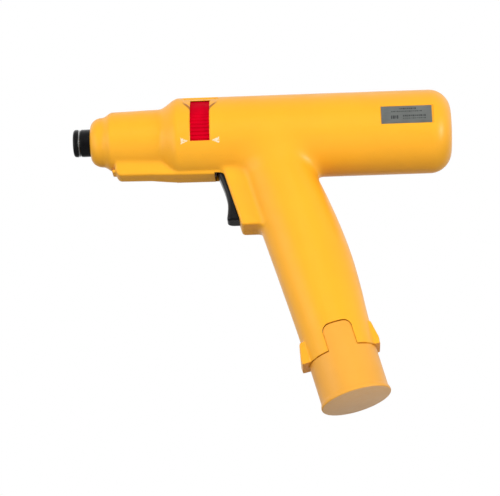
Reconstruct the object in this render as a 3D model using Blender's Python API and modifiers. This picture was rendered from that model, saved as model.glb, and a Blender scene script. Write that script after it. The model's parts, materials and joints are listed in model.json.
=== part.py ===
"""Cordless pistol-grip rotary hand tool with two C cells in its grip.

Lengths are written in millimetres and turned into metres when a mesh is made. The origin is the
centre of the flat rear face of the barrel, +X points backwards out of that face, +Z points up,
and the nose points to -X. Two local frames carry most pieces:

- the barrel frame, whose Z runs forwards along the spindle (its X is up, its Y is the world's Y);
- the grip frame, whose Z runs down the grip (its X points forwards, its Y is the world's Y).
"""

import math

import bmesh
import bpy
from mathutils import Matrix, Vector

MM = 0.001
GAP = 0.3  # between faces that touch on the real object
RUNNING = 0.15  # around a turning or sliding shaft

# Barrel, measured forwards from its rear face.
BARREL_R = 21.0
REAR_CORNER = 10.0
SHOULDER = (135.4, 145.8)
NOSE_R = 15.55
NOSE_TIP_R = 14.9
STEP = (168.9, 174.0)
COLLAR_R = 12.4
NOSE_END = 180.0
NOSE_FACE_R = 8.0
WALL = 2.2
BORE_R = 7.3  # the opening in the nose

# Rib under the nose: forward distance, Z of its underside, half widths at its top and bottom.
KEEL_TOP = -10.0
KEEL_SECTIONS = (
    (169.5, -17.0, 6.6, 4.9),
    (166.2, -20.4, 7.6, 4.3),
    (150.0, -20.4, 7.6, 4.3),
    (137.0, -21.4, 7.4, 5.4),
    (112.0, -21.6, 7.4, 5.4),
)

SEAM_Y = 0.75  # the left half's edge passes the middle, so the axis meets solid plastic at the rear

# Grip, measured down its own axis from the spindle.
GRIP_X = -89.2
GRIP_TILT = math.radians(14.77)
GRIP_END = 122.0
CELL_BAY_R = 14.6
LEAD_SPACE_R = 12.2  # above the cells, where the grip is narrower
LEAD_SPACE_TOP = 14.0
BAY_TOP = 32.6
# distance down the grip, reach forwards, reach backwards, half width
GRIP_SECTIONS = (
    (0.0, 20.6, 14.0, 13.6),
    (13.0, 20.5, 14.0, 16.5),
    (25.0, 20.3, 14.6, 17.5),
    (42.0, 19.7, 16.9, 17.7),
    (58.0, 19.0, 18.5, 17.5),
    (76.0, 18.3, 19.2, 17.3),
    (92.0, 17.7, 18.55, 17.2),
    (107.0, 17.25, 17.5, 17.2),
    (GRIP_END, 17.2, 17.2, 17.2),
)
LUG_HALF = 8.0
LUG_TOP = 108.0
LUG_BOTTOM = GRIP_END - 0.4

# Box that holds the trigger and the switch, ahead of the grip.
GUARD_HALF = 7.3
GUARD_BOTTOM = -50.0
SLOT_HALF = 4.95
SLOT_FRONT = -117.3
SLOT_BOTTOM = -46.3

# Battery cap.
CAP_R = 16.6
CAP_LIP_R = 17.2
CAP_BOTTOM = 144.7
CAP_FLOOR = 141.7
CAP_BORE_R = 14.3
TONGUE_HALF = 7.0
TONGUE_TOP = 109.0
TONGUE_CORNER = 3.5

# Cells: a C cell is 26.2 mm across and 50 mm long.
CELL_R = 13.1
CELL_LENGTH = 50.0
CELLS_TOP = 37.5
CELL_NUB_R = 3.3

# Index ring and its windows.
RING_R = 19.4
RING = (118.8, 130.6)
WINDOW = (119.7, 129.3)
WINDOW_ANGLES = (-27.3, 48.0)
RIBS = 63
RIB_DEPTH = 0.45
RING_HOLLOW_R = (8.2, 17.2)
RING_HOLLOW_DEPTH = 4.3

# Front sleeve, collar and clip.
SLEEVE_R = 5.5
SLEEVE_BORE_R = 3.5
SLEEVE_BACK = 95.4
NOSE_TIP = 188.7
COLLAR = (176.0, 185.0)
COLLAR_OUTER_R = 6.9
CLIP = (185.2, 186.0)
NOSE_BUSH = (161.0, 168.0)
REAR_BUSH = (95.6, 101.4)
BALL = (4.55, 181.5)  # up from the axis, forwards of the rear face
BALL_R = 1.0
COLLAR_SPRING = (168.9, 175.5)

# Label plate on the left side of the barrel.
LABEL = (9.9, 35.3)
LABEL_ANGLE = 13.5
LABEL_R = 20.95
LABEL_SUNK = 0.55

# Trigger and switch, in world X and Z.
PIVOT = (-113.0, -15.0)
TRIGGER_HALF = 4.6
TRIGGER_HUB_R = 3.1
TRIGGER_FRONT = ((-115.9, -20.7), (-114.4, -25.4), (-112.9, -30.2), (-111.9, -34.9),
                 (-111.6, -38.8), (-111.8, -43.9), (-111.2, -45.9))
TRIGGER_REAR = ((-104.9, -45.9), (-106.3, -40.8), (-106.3, -33.0), (-107.8, -26.0), (-109.6, -19.0))
PIN_R = 1.5
RETURN_SPRING = (-107.0, 0, -29.0)
SWITCH_FRONT = -102.4
SWITCH_BACK = -95.2
SWITCH_Z = (-40.0, -25.0)
BUTTON_FRONT = -106.0
BUTTON_LENGTH = 7.0
BUTTON_Z = -36.0
BUTTON_R = 1.8

# Motor and gears, measured forwards from the rear face.
MOTOR = (15.6, 50.0)
MOTOR_R = 13.85
MOTOR_INNER_R = 12.9
MOUNT_SCREW_Y = 8.0
MAGNET_R = (10.2, 12.6)
MAGNET_SPAN = 130
MAGNET_LENGTH = 24.0
CORE_MIDDLE = 34.0
CORE_LENGTH = 20.0
CORE_R = 9.6
COMMUTATOR = (16.8, 21.3)
COMMUTATOR_R = 3.1
END_BELL = (10.2, 12.0, 15.2)
SHAFT = (10.6, 62.6)
SHAFT_R = 1.15
SEAT = 0.08  # between a shaft and what is pressed on it
GEAR_MODULE = 0.6
SUN_TEETH = 12
PLANET_TEETH = 18
RING_TEETH = 48
PLANETS = 3
BACKLASH = 0.14
PRESSURE_ANGLE = math.radians(20)
GEAR_CASE = (51.7, 66.0)
GEAR_CASE_R = 16.4
GEAR_MIDDLE = 57.8
SUN_LENGTH = 8.4
PLANET_WIDTH = 7.4
PLANET_PIN_R = 1.5
CARRIER = (62.0, 65.2, 72.5)
CARRIER_R = 13.1
CARRIER_NECK_R = 4.5
SPINDLE_CLIP = (70.85, 71.65)
COVER = (66.3, 69.6)
SPINDLE_R = 3.2
SPINDLE_END = 167.0
PLANET_CENTRE = GEAR_MODULE * (SUN_TEETH + PLANET_TEETH) / 2

# Screws that join the housing halves.
BOSS_R = 3.5
SCREW_R = 1.25
SCREW_HEAD_R = 2.1
SCREW_RECESS_R = 2.3

HOUSING_STEPS = 32
ROUND_STEPS = 20
SMALL_STEPS = 12

# name: colour, roughness, metallic
FINISHES = {
    "yellow_plastic": ((0.98, 0.52, 0.03), 0.42, 0.0),
    "red_plastic": ((0.62, 0.0, 0.01), 0.4, 0.0),
    "black_plastic": ((0.015, 0.015, 0.017), 0.4, 0.0),
    "white_plastic": ((0.75, 0.74, 0.7), 0.5, 0.0),
    "foil": ((0.3, 0.31, 0.29), 0.4, 0.9),
    "black_steel": ((0.02, 0.02, 0.022), 0.35, 0.7),
    "steel": ((0.6, 0.6, 0.6), 0.3, 1.0),
    "zinc": ((0.55, 0.56, 0.58), 0.4, 1.0),
    "brass": ((0.75, 0.55, 0.25), 0.35, 1.0),
    "bronze": ((0.5, 0.33, 0.16), 0.5, 1.0),
    "copper": ((0.72, 0.35, 0.2), 0.4, 1.0),
    "ferrite": ((0.05, 0.05, 0.055), 0.7, 0.0),
    "carbon": ((0.04, 0.04, 0.04), 0.6, 0.0),
    "cell_jacket": ((0.03, 0.1, 0.3), 0.4, 0.2),
    "red_wire": ((0.5, 0.01, 0.01), 0.5, 0.0),
    "black_wire": ((0.02, 0.02, 0.02), 0.5, 0.0),
}


def clear_scene():
    for thing in list(bpy.data.objects):
        bpy.data.objects.remove(thing, do_unlink=True)


def new_collection(name):
    made = bpy.data.collections.new(name)
    bpy.context.scene.collection.children.link(made)
    return made


def new_material(name):
    colour, roughness, metallic = FINISHES[name]
    material = bpy.data.materials.new(name)
    material.use_nodes = True
    shader = material.node_tree.nodes["Principled BSDF"]
    shader.inputs["Base Color"].default_value = (*colour, 1.0)
    shader.inputs["Roughness"].default_value = roughness
    shader.inputs["Metallic"].default_value = metallic
    return material


clear_scene()
PARTS = new_collection("cordless_rotary_tool")
CUTTERS = new_collection("cutters")
MATERIALS = {name: new_material(name) for name in FINISHES}


def new_frame(name, location=(0, 0, 0), turn_y=0.0, parent=None, turn_z=0.0):
    """An empty that pieces are placed by."""
    empty = bpy.data.objects.new(name, None)
    PARTS.objects.link(empty)
    empty.parent = parent
    empty.location = Vector(location) * MM
    empty.rotation_euler = (0, turn_y, turn_z)
    return empty


BARREL = new_frame("barrel_frame", turn_y=math.radians(-90))
GRIP = new_frame("grip_frame", (GRIP_X, 0, 0), turn_y=math.pi - GRIP_TILT)
SIDE = new_frame("side_frame")
SIDE.rotation_euler = (math.radians(90), 0, 0)
TRIGGER = new_frame("trigger_frame", (PIVOT[0], 0, PIVOT[1]))
TRIGGER.rotation_euler = (math.radians(90), 0, 0)
PLANET_FRAMES = [
    new_frame(
        f"planet_frame_{k + 1}",
        (
            PLANET_CENTRE * math.cos(k * math.tau / PLANETS),
            PLANET_CENTRE * math.sin(k * math.tau / PLANETS),
            0,
        ),
        parent=BARREL,
        turn_z=k * math.tau / PLANETS,
    )
    for k in range(PLANETS)
]


def place(piece, finish, frame, location=(0, 0, 0), rotation=(0, 0, 0)):
    """Link a piece into its frame. A finish of None makes it a cutter."""
    if finish is None:
        CUTTERS.objects.link(piece)
        piece.hide_render = True
        piece.display_type = "WIRE"
    else:
        PARTS.objects.link(piece)
        piece.data.materials.append(MATERIALS[finish])
    piece.parent = frame
    piece.location = Vector(location) * MM
    piece.rotation_euler = rotation
    return piece


def turned(name, profile, finish, frame=BARREL, steps=ROUND_STEPS, **where):
    """A profile of (height, radius) points turned about the frame's Z."""
    area = 0.0
    for (h0, r0), (h1, r1) in zip(profile, profile[1:] + profile[:1]):
        area += r0 * h1 - r1 * h0
    if area > 0:  # the profile runs down its outer side
        profile = profile[::-1]
    on_axis = min(r for _, r in profile) == 0
    points = [(r * MM, 0, h * MM) for h, r in profile]
    edges = [(i, i + 1) for i in range(len(points) - 1)]
    if on_axis:
        first = next(i for i, (_, r) in enumerate(profile) if r == 0 and profile[i - 1][1] == 0)
        points = points[first:] + points[:first]
    else:
        edges.append((len(points) - 1, 0))
    mesh = bpy.data.meshes.new(name)
    mesh.from_pydata(points, edges, [])
    piece = place(bpy.data.objects.new(name, mesh), finish, frame, **where)
    screw = piece.modifiers.new("turn", "SCREW")
    screw.steps = steps
    screw.render_steps = steps
    screw.use_merge_vertices = True
    screw.merge_threshold = 0.000001
    screw.use_smooth_shade = True
    return piece


def tube_profile(low, high, inner, outer):
    return [(low, inner), (low, outer), (high, outer), (high, inner)]


def rod_profile(low, high, radius):
    return [(low, 0), (low, radius), (high, radius), (high, 0)]


def arc(cx, cy, radius, start, end, count):
    """Points on an arc, angles in degrees."""
    angles = (math.radians(start + (end - start) * i / max(count - 1, 1)) for i in range(count))
    return [(cx + radius * math.cos(a), cy + radius * math.sin(a)) for a in angles]


def circle(cx, cy, radius, count):
    return arc(cx, cy, radius, 0, 360, count + 1)[:-1]


def flat(name, loops, thickness, finish, frame, bevel=0.0, **where):
    """A flat outline with holes, in the frame's XY plane, thick along its Z about its middle."""
    curve = bpy.data.curves.new(name, "CURVE")
    curve.dimensions = "2D"
    curve.fill_mode = "BOTH"
    curve.extrude = thickness * MM / 2
    for loop in loops:
        spline = curve.splines.new("POLY")
        spline.points.add(len(loop) - 1)
        for point, (x, y) in zip(spline.points, loop):
            point.co = (x * MM, y * MM, 0, 1)
        spline.use_cyclic_u = True
    outline = bpy.data.objects.new(name + "_outline", curve)
    bpy.context.scene.collection.objects.link(outline)
    graph = bpy.context.evaluated_depsgraph_get()
    mesh = bpy.data.meshes.new_from_object(outline.evaluated_get(graph))
    bpy.data.objects.remove(outline, do_unlink=True)
    edit = bmesh.new()
    edit.from_mesh(mesh)
    bmesh.ops.remove_doubles(edit, verts=edit.verts, dist=0.0000005)
    bmesh.ops.recalc_face_normals(edit, faces=edit.faces)
    edit.to_mesh(mesh)
    edit.free()
    mesh.name = name
    mesh.materials.clear()
    piece = place(bpy.data.objects.new(name, mesh), finish, frame, **where)
    if bevel:
        round_edges(piece, bevel)
    return piece


def round_edges(piece, width, segments=2):
    bevel = piece.modifiers.new("rounding", "BEVEL")
    bevel.width = width * MM
    bevel.segments = segments
    bevel.limit_method = "ANGLE"
    bevel.angle_limit = math.radians(40)
    bevel.use_clamp_overlap = True


def box(name, low, high, finish, frame=None, bevel=0.0):
    """A box between two corners."""
    edit = bmesh.new()
    bmesh.ops.create_cube(edit, size=1.0)
    size = [(b - a) * MM for a, b in zip(low, high)]
    bmesh.ops.scale(edit, vec=size, verts=edit.verts)
    mesh = bpy.data.meshes.new(name)
    edit.to_mesh(mesh)
    edit.free()
    middle = [(a + b) / 2 for a, b in zip(low, high)]
    piece = place(bpy.data.objects.new(name, mesh), finish, frame, location=middle)
    if bevel:
        round_edges(piece, bevel)
    return piece


def loft(name, rings, finish, frame=None, **where):
    """A closed skin through rings of points, all with the same count, capped at both ends."""
    count = len(rings[0])
    points = [tuple(c * MM for c in point) for ring in rings for point in ring]
    faces = []
    for k in range(len(rings) - 1):
        for i in range(count):
            j = (i + 1) % count
            faces.append((k * count + i, k * count + j, (k + 1) * count + j, (k + 1) * count + i))
    faces.append(tuple(range(count))[::-1])
    faces.append(tuple(range((len(rings) - 1) * count, len(rings) * count)))
    mesh = bpy.data.meshes.new(name)
    mesh.from_pydata(points, [], faces)
    edit = bmesh.new()
    edit.from_mesh(mesh)
    bmesh.ops.recalc_face_normals(edit, faces=edit.faces)
    edit.to_mesh(mesh)
    edit.free()
    return place(bpy.data.objects.new(name, mesh), finish, frame, **where)


def wire(name, points, radius, finish, frame=None, detail=2):
    """A round wire or lead through points."""
    curve = bpy.data.curves.new(name, "CURVE")
    curve.dimensions = "3D"
    curve.bevel_depth = radius * MM
    curve.bevel_resolution = detail
    curve.use_fill_caps = True
    spline = curve.splines.new("POLY")
    spline.points.add(len(points) - 1)
    for point, at in zip(spline.points, points):
        point.co = (*(c * MM for c in at), 1)
    return place(bpy.data.objects.new(name, curve), finish, frame)


def smooth_route(marks, per_span=4):
    """Points on a Catmull-Rom curve through the marks."""
    marks = [Vector(m) for m in marks]
    ends = [marks[0] * 2 - marks[1]] + marks + [marks[-1] * 2 - marks[-2]]
    route = []
    for a, b, c, d in zip(ends, ends[1:], ends[2:], ends[3:]):
        for i in range(per_span):
            t = i / per_span
            route.append(
                0.5 * (2 * b + (c - a) * t + (2 * a - 5 * b + 4 * c - d) * t * t
                       + (3 * b - a - 3 * c + d) * t ** 3)
            )
    return route + [marks[-1]]


def coil(start, end, radius_start, radius_end, turns, per_turn=8):
    """Points of a helix along Z."""
    count = int(turns * per_turn)
    route = []
    for i in range(count + 1):
        t = i / count
        radius = radius_start + (radius_end - radius_start) * t
        angle = math.tau * turns * t
        route.append((radius * math.cos(angle), radius * math.sin(angle), start + (end - start) * t))
    return route


def boolean(piece, tool, operation="DIFFERENCE", solver="EXACT"):
    change = piece.modifiers.new(operation.lower(), "BOOLEAN")
    change.object = tool
    change.operation = operation
    change.solver = solver
    return piece


def joined(name, pieces, finish, frame=None):
    """Several pieces' meshes as separate bodies of one object."""
    bpy.context.view_layer.update()
    graph = bpy.context.evaluated_depsgraph_get()
    home = frame.matrix_world.inverted() if frame else Matrix()
    edit = bmesh.new()
    for piece in pieces:
        mesh = bpy.data.meshes.new_from_object(piece.evaluated_get(graph))
        mesh.transform(home @ piece.matrix_world)
        edit.from_mesh(mesh)
        bpy.data.meshes.remove(mesh)
    for piece in pieces:
        bpy.data.objects.remove(piece, do_unlink=True)
    mesh = bpy.data.meshes.new(name)
    edit.to_mesh(mesh)
    edit.free()
    mesh.materials.clear()
    return place(bpy.data.objects.new(name, mesh), finish, frame)


def along_y(name, x, z, low, high, radius, finish, steps=16):
    """A cylinder along the world's Y."""
    profile = rod_profile(low, high, radius)
    turn = (math.radians(-90), 0, 0)
    return turned(name, profile, finish, None, steps, location=(x, 0, z), rotation=turn)


def smoothstep(t):
    t = min(max(t, 0.0), 1.0)
    return t * t * (3 - 2 * t)


def grip_point(s, forwards):
    """World X and Z of a point down the grip and ahead of its axis."""
    x = GRIP_X + s * math.sin(GRIP_TILT) - forwards * math.cos(GRIP_TILT)
    z = -s * math.cos(GRIP_TILT) - forwards * math.sin(GRIP_TILT)
    return x, z


LUG_SCREW_S = 116.0
LUG_SCREW_OUT = 17.0
SCREWS = (
    # world X and Z, half length of the boss (none in the lugs), Y of the head's underside
    (-6.3, 11.5, 18.0, 6.0),
    (-6.3, -11.5, 18.0, 6.0),
    (-78.0, 12.0, 18.0, 8.0),
    (-151.0, 9.8, 14.0, 5.0),
    (*grip_point(25.5, 0.0), 16.2, 8.0),
    (-96.4, -44.6, 6.4, 4.6),
    (*grip_point(LUG_SCREW_S, LUG_SCREW_OUT), 0.0, 4.6),
    (*grip_point(LUG_SCREW_S, -LUG_SCREW_OUT), 0.0, 4.6),
)


def shoulder_radius(f, inset=0.0):
    wide, narrow = BARREL_R - inset, NOSE_R - inset
    t = (f - SHOULDER[0]) / (SHOULDER[1] - SHOULDER[0])
    return wide + (narrow - wide) * smoothstep(t)


def barrel_profile(inset=0.0):
    """Outer outline of the barrel and nose, or one that lies inside it."""
    corner = BARREL_R - REAR_CORNER
    profile = [(inset, 0)]
    profile += [(REAR_CORNER - h, corner + r) for h, r in arc(0, 0, REAR_CORNER - inset, 0, 90, 5)]
    count = 5
    for i in range(count + 1):
        f = SHOULDER[0] + (SHOULDER[1] - SHOULDER[0]) * i / count
        profile.append((f, shoulder_radius(f, inset)))
    for i in range(4):
        t = i / 3
        profile.append((STEP[0] + (STEP[1] - STEP[0]) * t,
                        NOSE_TIP_R - inset + (COLLAR_R - NOSE_TIP_R) * smoothstep(t)))
    across, along = COLLAR_R - NOSE_FACE_R, NOSE_END - STEP[1]
    for i in range(1, 4):
        a = math.radians(30 * i)
        profile.append((NOSE_END - along * (1 - math.sin(a)), NOSE_FACE_R + across * math.cos(a)))
    profile.append((NOSE_END, 0))
    return profile


def cavity_profile():
    """Inside of the barrel, with its webs, bush seats and the recess behind the ring."""
    inner = BARREL_R - WALL
    nose = NOSE_TIP_R - WALL
    corner = REAR_CORNER - WALL
    lip = SLEEVE_R + 0.8
    seat = 8.15
    front_seat = 9.15
    profile = [(WALL, 0)]
    profile += [(WALL + corner - h, inner - corner + r) for h, r in arc(0, 0, corner, 0, 90, 3)]
    web = (REAR_BUSH[0] - 1.6, REAR_BUSH[1] + 1.6)
    profile += [(web[0], inner), (web[0], lip), (REAR_BUSH[0] - GAP, lip)]
    profile += [(REAR_BUSH[0] - GAP, seat), (REAR_BUSH[1] + GAP, seat)]
    profile += [(REAR_BUSH[1] + GAP, lip), (web[1], lip), (web[1], inner)]
    recess = RING_R + 0.5
    profile += [(RING[0] - 1.0, inner), (RING[0] - 1.0, recess)]
    profile += [(RING[1] + 1.0, recess), (RING[1] + 1.0, inner)]
    for i in range(5):
        f = SHOULDER[0] + (SHOULDER[1] - SHOULDER[0]) * i / 4
        profile.append((f - 0.6, shoulder_radius(f, WALL)))
    web_start = NOSE_BUSH[0] - 2.0
    profile += [(web_start, nose), (web_start, lip), (NOSE_BUSH[0] - GAP, lip)]
    profile += [(NOSE_BUSH[0] - GAP, front_seat), (NOSE_BUSH[1] + GAP, front_seat)]
    profile += [(NOSE_BUSH[1] + GAP, BORE_R), (NOSE_END + 2.0, BORE_R), (NOSE_END + 2.0, 0)]
    return profile


def grip_ring(s, forwards, backwards, half, count=HOUSING_STEPS):
    ring = []
    for i in range(count):
        a = math.tau * i / count
        reach = forwards if math.cos(a) > 0 else backwards
        ring.append((reach * math.cos(a), half * math.sin(a), s))
    return ring


def sector(inner, outer, low, high, side=-1, count=8):
    """An arc-shaped outline in the barrel frame; angles go up from the world's -Y."""
    def ring(radius):
        return [(radius * math.sin(math.radians(a)), side * radius * math.cos(math.radians(a)))
                for a in (low + (high - low) * i / (count - 1) for i in range(count))]
    return ring(outer) + ring(inner)[::-1]


def rounded_tongue(half, top, bottom, corner):
    """A tongue's outline with round top corners, as (across, down the grip)."""
    right = arc(half - corner, top + corner, corner, 0, -90, 5)
    left = arc(corner - half, top + corner, corner, -90, -180, 5)
    return [(half, bottom)] + right + left + [(-half, bottom)]


def guard_outline():
    """Side outline of the trigger box, in world X and Z."""
    return [
        (-88.0, -8.0),
        (-117.5, -8.0),
        (-117.5, -15.6),
        (-114.4, -18.2),
        (-112.2, -22.0),
        (-106.1, -46.0),
        (-105.4, GUARD_BOTTOM),
        (-88.0, GUARD_BOTTOM),
    ]


def keel_ring(f, bottom, wide, narrow):
    """Cross-section of the rib under the nose, with round lower corners."""
    half = [(wide, KEEL_TOP), (narrow + 0.35, bottom + 1.2), (narrow - 0.5, bottom)]
    return [(-f, y, z) for y, z in half] + [(-f, -y, z) for y, z in half[::-1]]


def housing_tools():
    """Everything the two halves are joined from and cut with."""
    add = [loft("tool_grip", [grip_ring(*section) for section in GRIP_SECTIONS], None, GRIP)]
    guard = flat("tool_guard", [guard_outline()], 2 * GUARD_HALF, None, SIDE, bevel=1.6)
    add.append(guard)
    add.append(loft("tool_keel", [keel_ring(*section) for section in KEEL_SECTIONS], None))
    for side, name in ((1, "front"), (-1, "rear")):
        top = 18.3 if side > 0 else 18.7
        outline = [(side * 14.9, LUG_TOP), (side * top, LUG_TOP), (side * 20.15, LUG_BOTTOM - 1.2),
                   (side * 19.9, LUG_BOTTOM), (side * 14.9, LUG_BOTTOM)]
        turn = (math.radians(90), 0, 0)
        add.append(flat(f"tool_lug_{name}", [outline], 2 * LUG_HALF, None, GRIP, rotation=turn))
    bay = [(LEAD_SPACE_TOP, 0), (LEAD_SPACE_TOP, LEAD_SPACE_R), (BAY_TOP, LEAD_SPACE_R),
           (BAY_TOP, CELL_BAY_R), (GRIP_END + 5, CELL_BAY_R), (GRIP_END + 5, 0)]
    cut = [
        turned("tool_cavity", cavity_profile(), None, steps=HOUSING_STEPS),
        turned("tool_cell_bay", bay, None, GRIP, 24),
        flat("tool_slot", [[(SLOT_FRONT, -10), (SLOT_FRONT, -27), (-114, SLOT_BOTTOM),
                            (-100, SLOT_BOTTOM), (-100, -10)]], 2 * SLOT_HALF, None, SIDE),
        flat("tool_switch_bay", [[(-107.5, -14.2), (-103.5, SLOT_BOTTOM), (-92, SLOT_BOTTOM),
                                  (-92, -14.2)]], 11.0, None, SIDE),
    ]
    return add, cut


def inner_ribs():
    """Rings that hold the motor and the gear case, with a passage for the leads below."""
    outer = BARREL_R - WALL + 0.8
    ribs = []
    for f, inner in ((22.0, MOTOR_R + GAP), (42.0, MOTOR_R + GAP)):
        ribs.append(turned("rib", tube_profile(f, f + 1.6, inner, outer), None, steps=HOUSING_STEPS))
    ribs.append(turned("rib", tube_profile(70.2, 71.8, 12.0, outer), None, steps=HOUSING_STEPS))
    tool = joined("tool_ribs", ribs, None)
    boolean(tool, box("tool_lead_way", (-90, -7, -20.5), (-10, 7, -13.5), None))
    return tool


def screw_tools():
    """Bosses, and the stepped holes the screws sit in."""
    bosses, holes = [], []
    for x, z, half, seat in SCREWS:
        if half:
            bosses.append(along_y("boss", x, z, -half, half, BOSS_R, None))
        hole = [(-5.5, 0), (-5.5, SCREW_R + 0.1), (seat - GAP, SCREW_R + 0.1),
                (seat - GAP, SCREW_RECESS_R), (24, SCREW_RECESS_R), (24, 0)]
        turn = (math.radians(-90), 0, 0)
        holes.append(turned("hole", hole, None, None, SMALL_STEPS, location=(x, 0, z), rotation=turn))
    pivots = [along_y("pivot_boss", *PIVOT, *ends, 3.0, None) for ends in ((-10.2, -4.9), (4.9, 10.2))]
    pin_way = along_y("pin_way", *PIVOT, -8.4, 8.4, PIN_R + 0.1, None)
    in_barrel = joined("tool_barrel_bosses", bosses[:4], None)
    boolean(in_barrel, turned("tool_boss_limit", barrel_profile(0.8), None), "INTERSECT", "MANIFOLD")
    others = joined("tool_bosses", bosses[4:] + pivots, None)
    return (in_barrel, others), joined("tool_holes", holes + [pin_way], None)


def housing_half(name, side, tools):
    """EXACT leaves open edges where the rounded box meets the slot, so these cuts use MANIFOLD."""
    outside, hollows, inside, openings = tools
    near, far = sorted((SEAM_Y + side * GAP / 2, side * 40.0))
    own_side = box(f"tool_{name}", (-200, near, -160), (20, far, 40), None)
    half = turned(name, barrel_profile(), "yellow_plastic", steps=HOUSING_STEPS)
    steps = [(outside, "UNION"), (hollows, "DIFFERENCE"), (inside, "UNION"),
             (openings, "DIFFERENCE"), ([own_side], "INTERSECT")]
    for tool_list, operation in steps:
        for tool in tool_list:
            boolean(half, tool, operation, "MANIFOLD")
    return half


def make_housing():
    outside, hollows = housing_tools()
    bosses, holes = screw_tools()
    inside = [inner_ribs(), *bosses]
    middle = sum(WINDOW) / 2
    openings = [holes]
    for side in (-1, 1):
        outline = sector(15.0, 25.0, *WINDOW_ANGLES, side)
        openings.append(flat(f"tool_window_{side + 2}", [outline], WINDOW[1] - WINDOW[0], None,
                             BARREL, location=(0, 0, middle)))
    tongue = rounded_tongue(TONGUE_HALF + GAP, TONGUE_TOP - GAP, GRIP_END + 8,
                             TONGUE_CORNER + GAP)
    turn = (math.radians(90), 0, 0)
    openings.append(flat("tool_tongues", [tongue], 60.0, None, GRIP, rotation=turn))
    tools = (outside, hollows, inside, openings)
    left = housing_half("left_housing", -1, tools)
    recess = sector(LABEL_R - LABEL_SUNK, 24.0, -LABEL_ANGLE - 0.6, LABEL_ANGLE + 0.6)
    label_cut = flat("tool_label", [recess], LABEL[1] - LABEL[0] + 2 * GAP, None, BARREL,
                     location=(0, 0, sum(LABEL) / 2))
    boolean(left, label_cut, solver="MANIFOLD")
    housing_half("right_housing", 1, tools)
    plate = sector(LABEL_R - 0.3, LABEL_R, -LABEL_ANGLE, LABEL_ANGLE)
    flat("label_plate", [plate], LABEL[1] - LABEL[0], "foil", BARREL, location=(0, 0, sum(LABEL) / 2))


def make_housing_screws():
    for k, (x, z, _, seat) in enumerate(SCREWS):
        profile = [(-5.0, 0), (-5.0, SCREW_R - 0.1), (seat, SCREW_R - 0.1), (seat, SCREW_HEAD_R),
                   (seat + 1.6, SCREW_HEAD_R), (seat + 1.6, 0)]
        turn = (math.radians(-90), 0, 0)
        turned(f"housing_screw_{k + 1}", profile, "zinc", None, SMALL_STEPS,
               location=(x, 0, z), rotation=turn)


def make_trigger():
    px, pz = PIVOT
    outline = arc(0, 0, TRIGGER_HUB_R, -20, 180, 9)
    outline += [(x - px, z - pz) for x, z in TRIGGER_FRONT + TRIGGER_REAR]
    trigger = flat("trigger", [outline], 2 * TRIGGER_HALF, "black_plastic", TRIGGER, bevel=0.8)
    boolean(trigger, along_y("tool_trigger_bore", px, pz, -9, 9, PIN_R + RUNNING, None, 16))
    along_y("trigger_pivot_pin", px, pz, -8.1, 8.1, PIN_R, "steel")
    spring = wire("trigger_return_spring", coil(0.3, 4.3, 1.6, 1.6, 4), 0.25, "steel", None, 1)
    spring.location = Vector(RETURN_SPRING) * MM
    spring.rotation_euler = (0, math.radians(90), 0)


def make_switch():
    body = box("switch_body", (SWITCH_FRONT, -4.8, SWITCH_Z[0]), (SWITCH_BACK, 4.8, SWITCH_Z[1]),
               "black_plastic", bevel=0.4)
    turn = (0, math.radians(90), 0)
    bore = turned("tool_button_bore", rod_profile(-1, BUTTON_LENGTH, BUTTON_R + RUNNING), None, None, 16,
                  location=(SWITCH_FRONT, 0, BUTTON_Z), rotation=turn)
    boolean(body, bore)
    profile = [(0, 0), (0, BUTTON_R - 0.4), (0.4, BUTTON_R), (BUTTON_LENGTH, BUTTON_R),
               (BUTTON_LENGTH, 0)]
    turned("switch_button", profile, "red_plastic", None, 16,
           location=(BUTTON_FRONT, 0, BUTTON_Z), rotation=turn)
    low, high = SWITCH_Z[1] + GAP, SWITCH_Z[1] + 3.3
    for k, x in enumerate((-100.5, -96.5)):
        box(f"switch_terminal_{k + 1}", (x - 0.25, -1.4, low), (x + 0.25, 1.4, high), "brass")


def involute(angle):
    return math.tan(angle) - angle


def gear_outline(teeth, tip, root, widen=0.0, flank=2):
    """Outline of an involute gear with a gap centred on its X axis."""
    pitch = GEAR_MODULE * teeth / 2
    base = pitch * math.cos(PRESSURE_ANGLE)
    half_at_pitch = (math.pi * GEAR_MODULE / 2 + widen) / (2 * pitch)

    def half_angle(radius):
        if radius < base:
            return half_at_pitch + involute(PRESSURE_ANGLE)
        return half_at_pitch + involute(PRESSURE_ANGLE) - involute(math.acos(base / radius))

    radii = [root + (tip - root) * i / flank for i in range(flank + 1)]
    outline = []
    for k in range(teeth):
        middle = math.tau * (k + 0.5) / teeth
        turns = [(r, middle - half_angle(r)) for r in radii]
        turns += [(r, middle + half_angle(r)) for r in reversed(radii)]
        outline += [(r * math.cos(a), r * math.sin(a)) for r, a in turns]
    return outline


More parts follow.
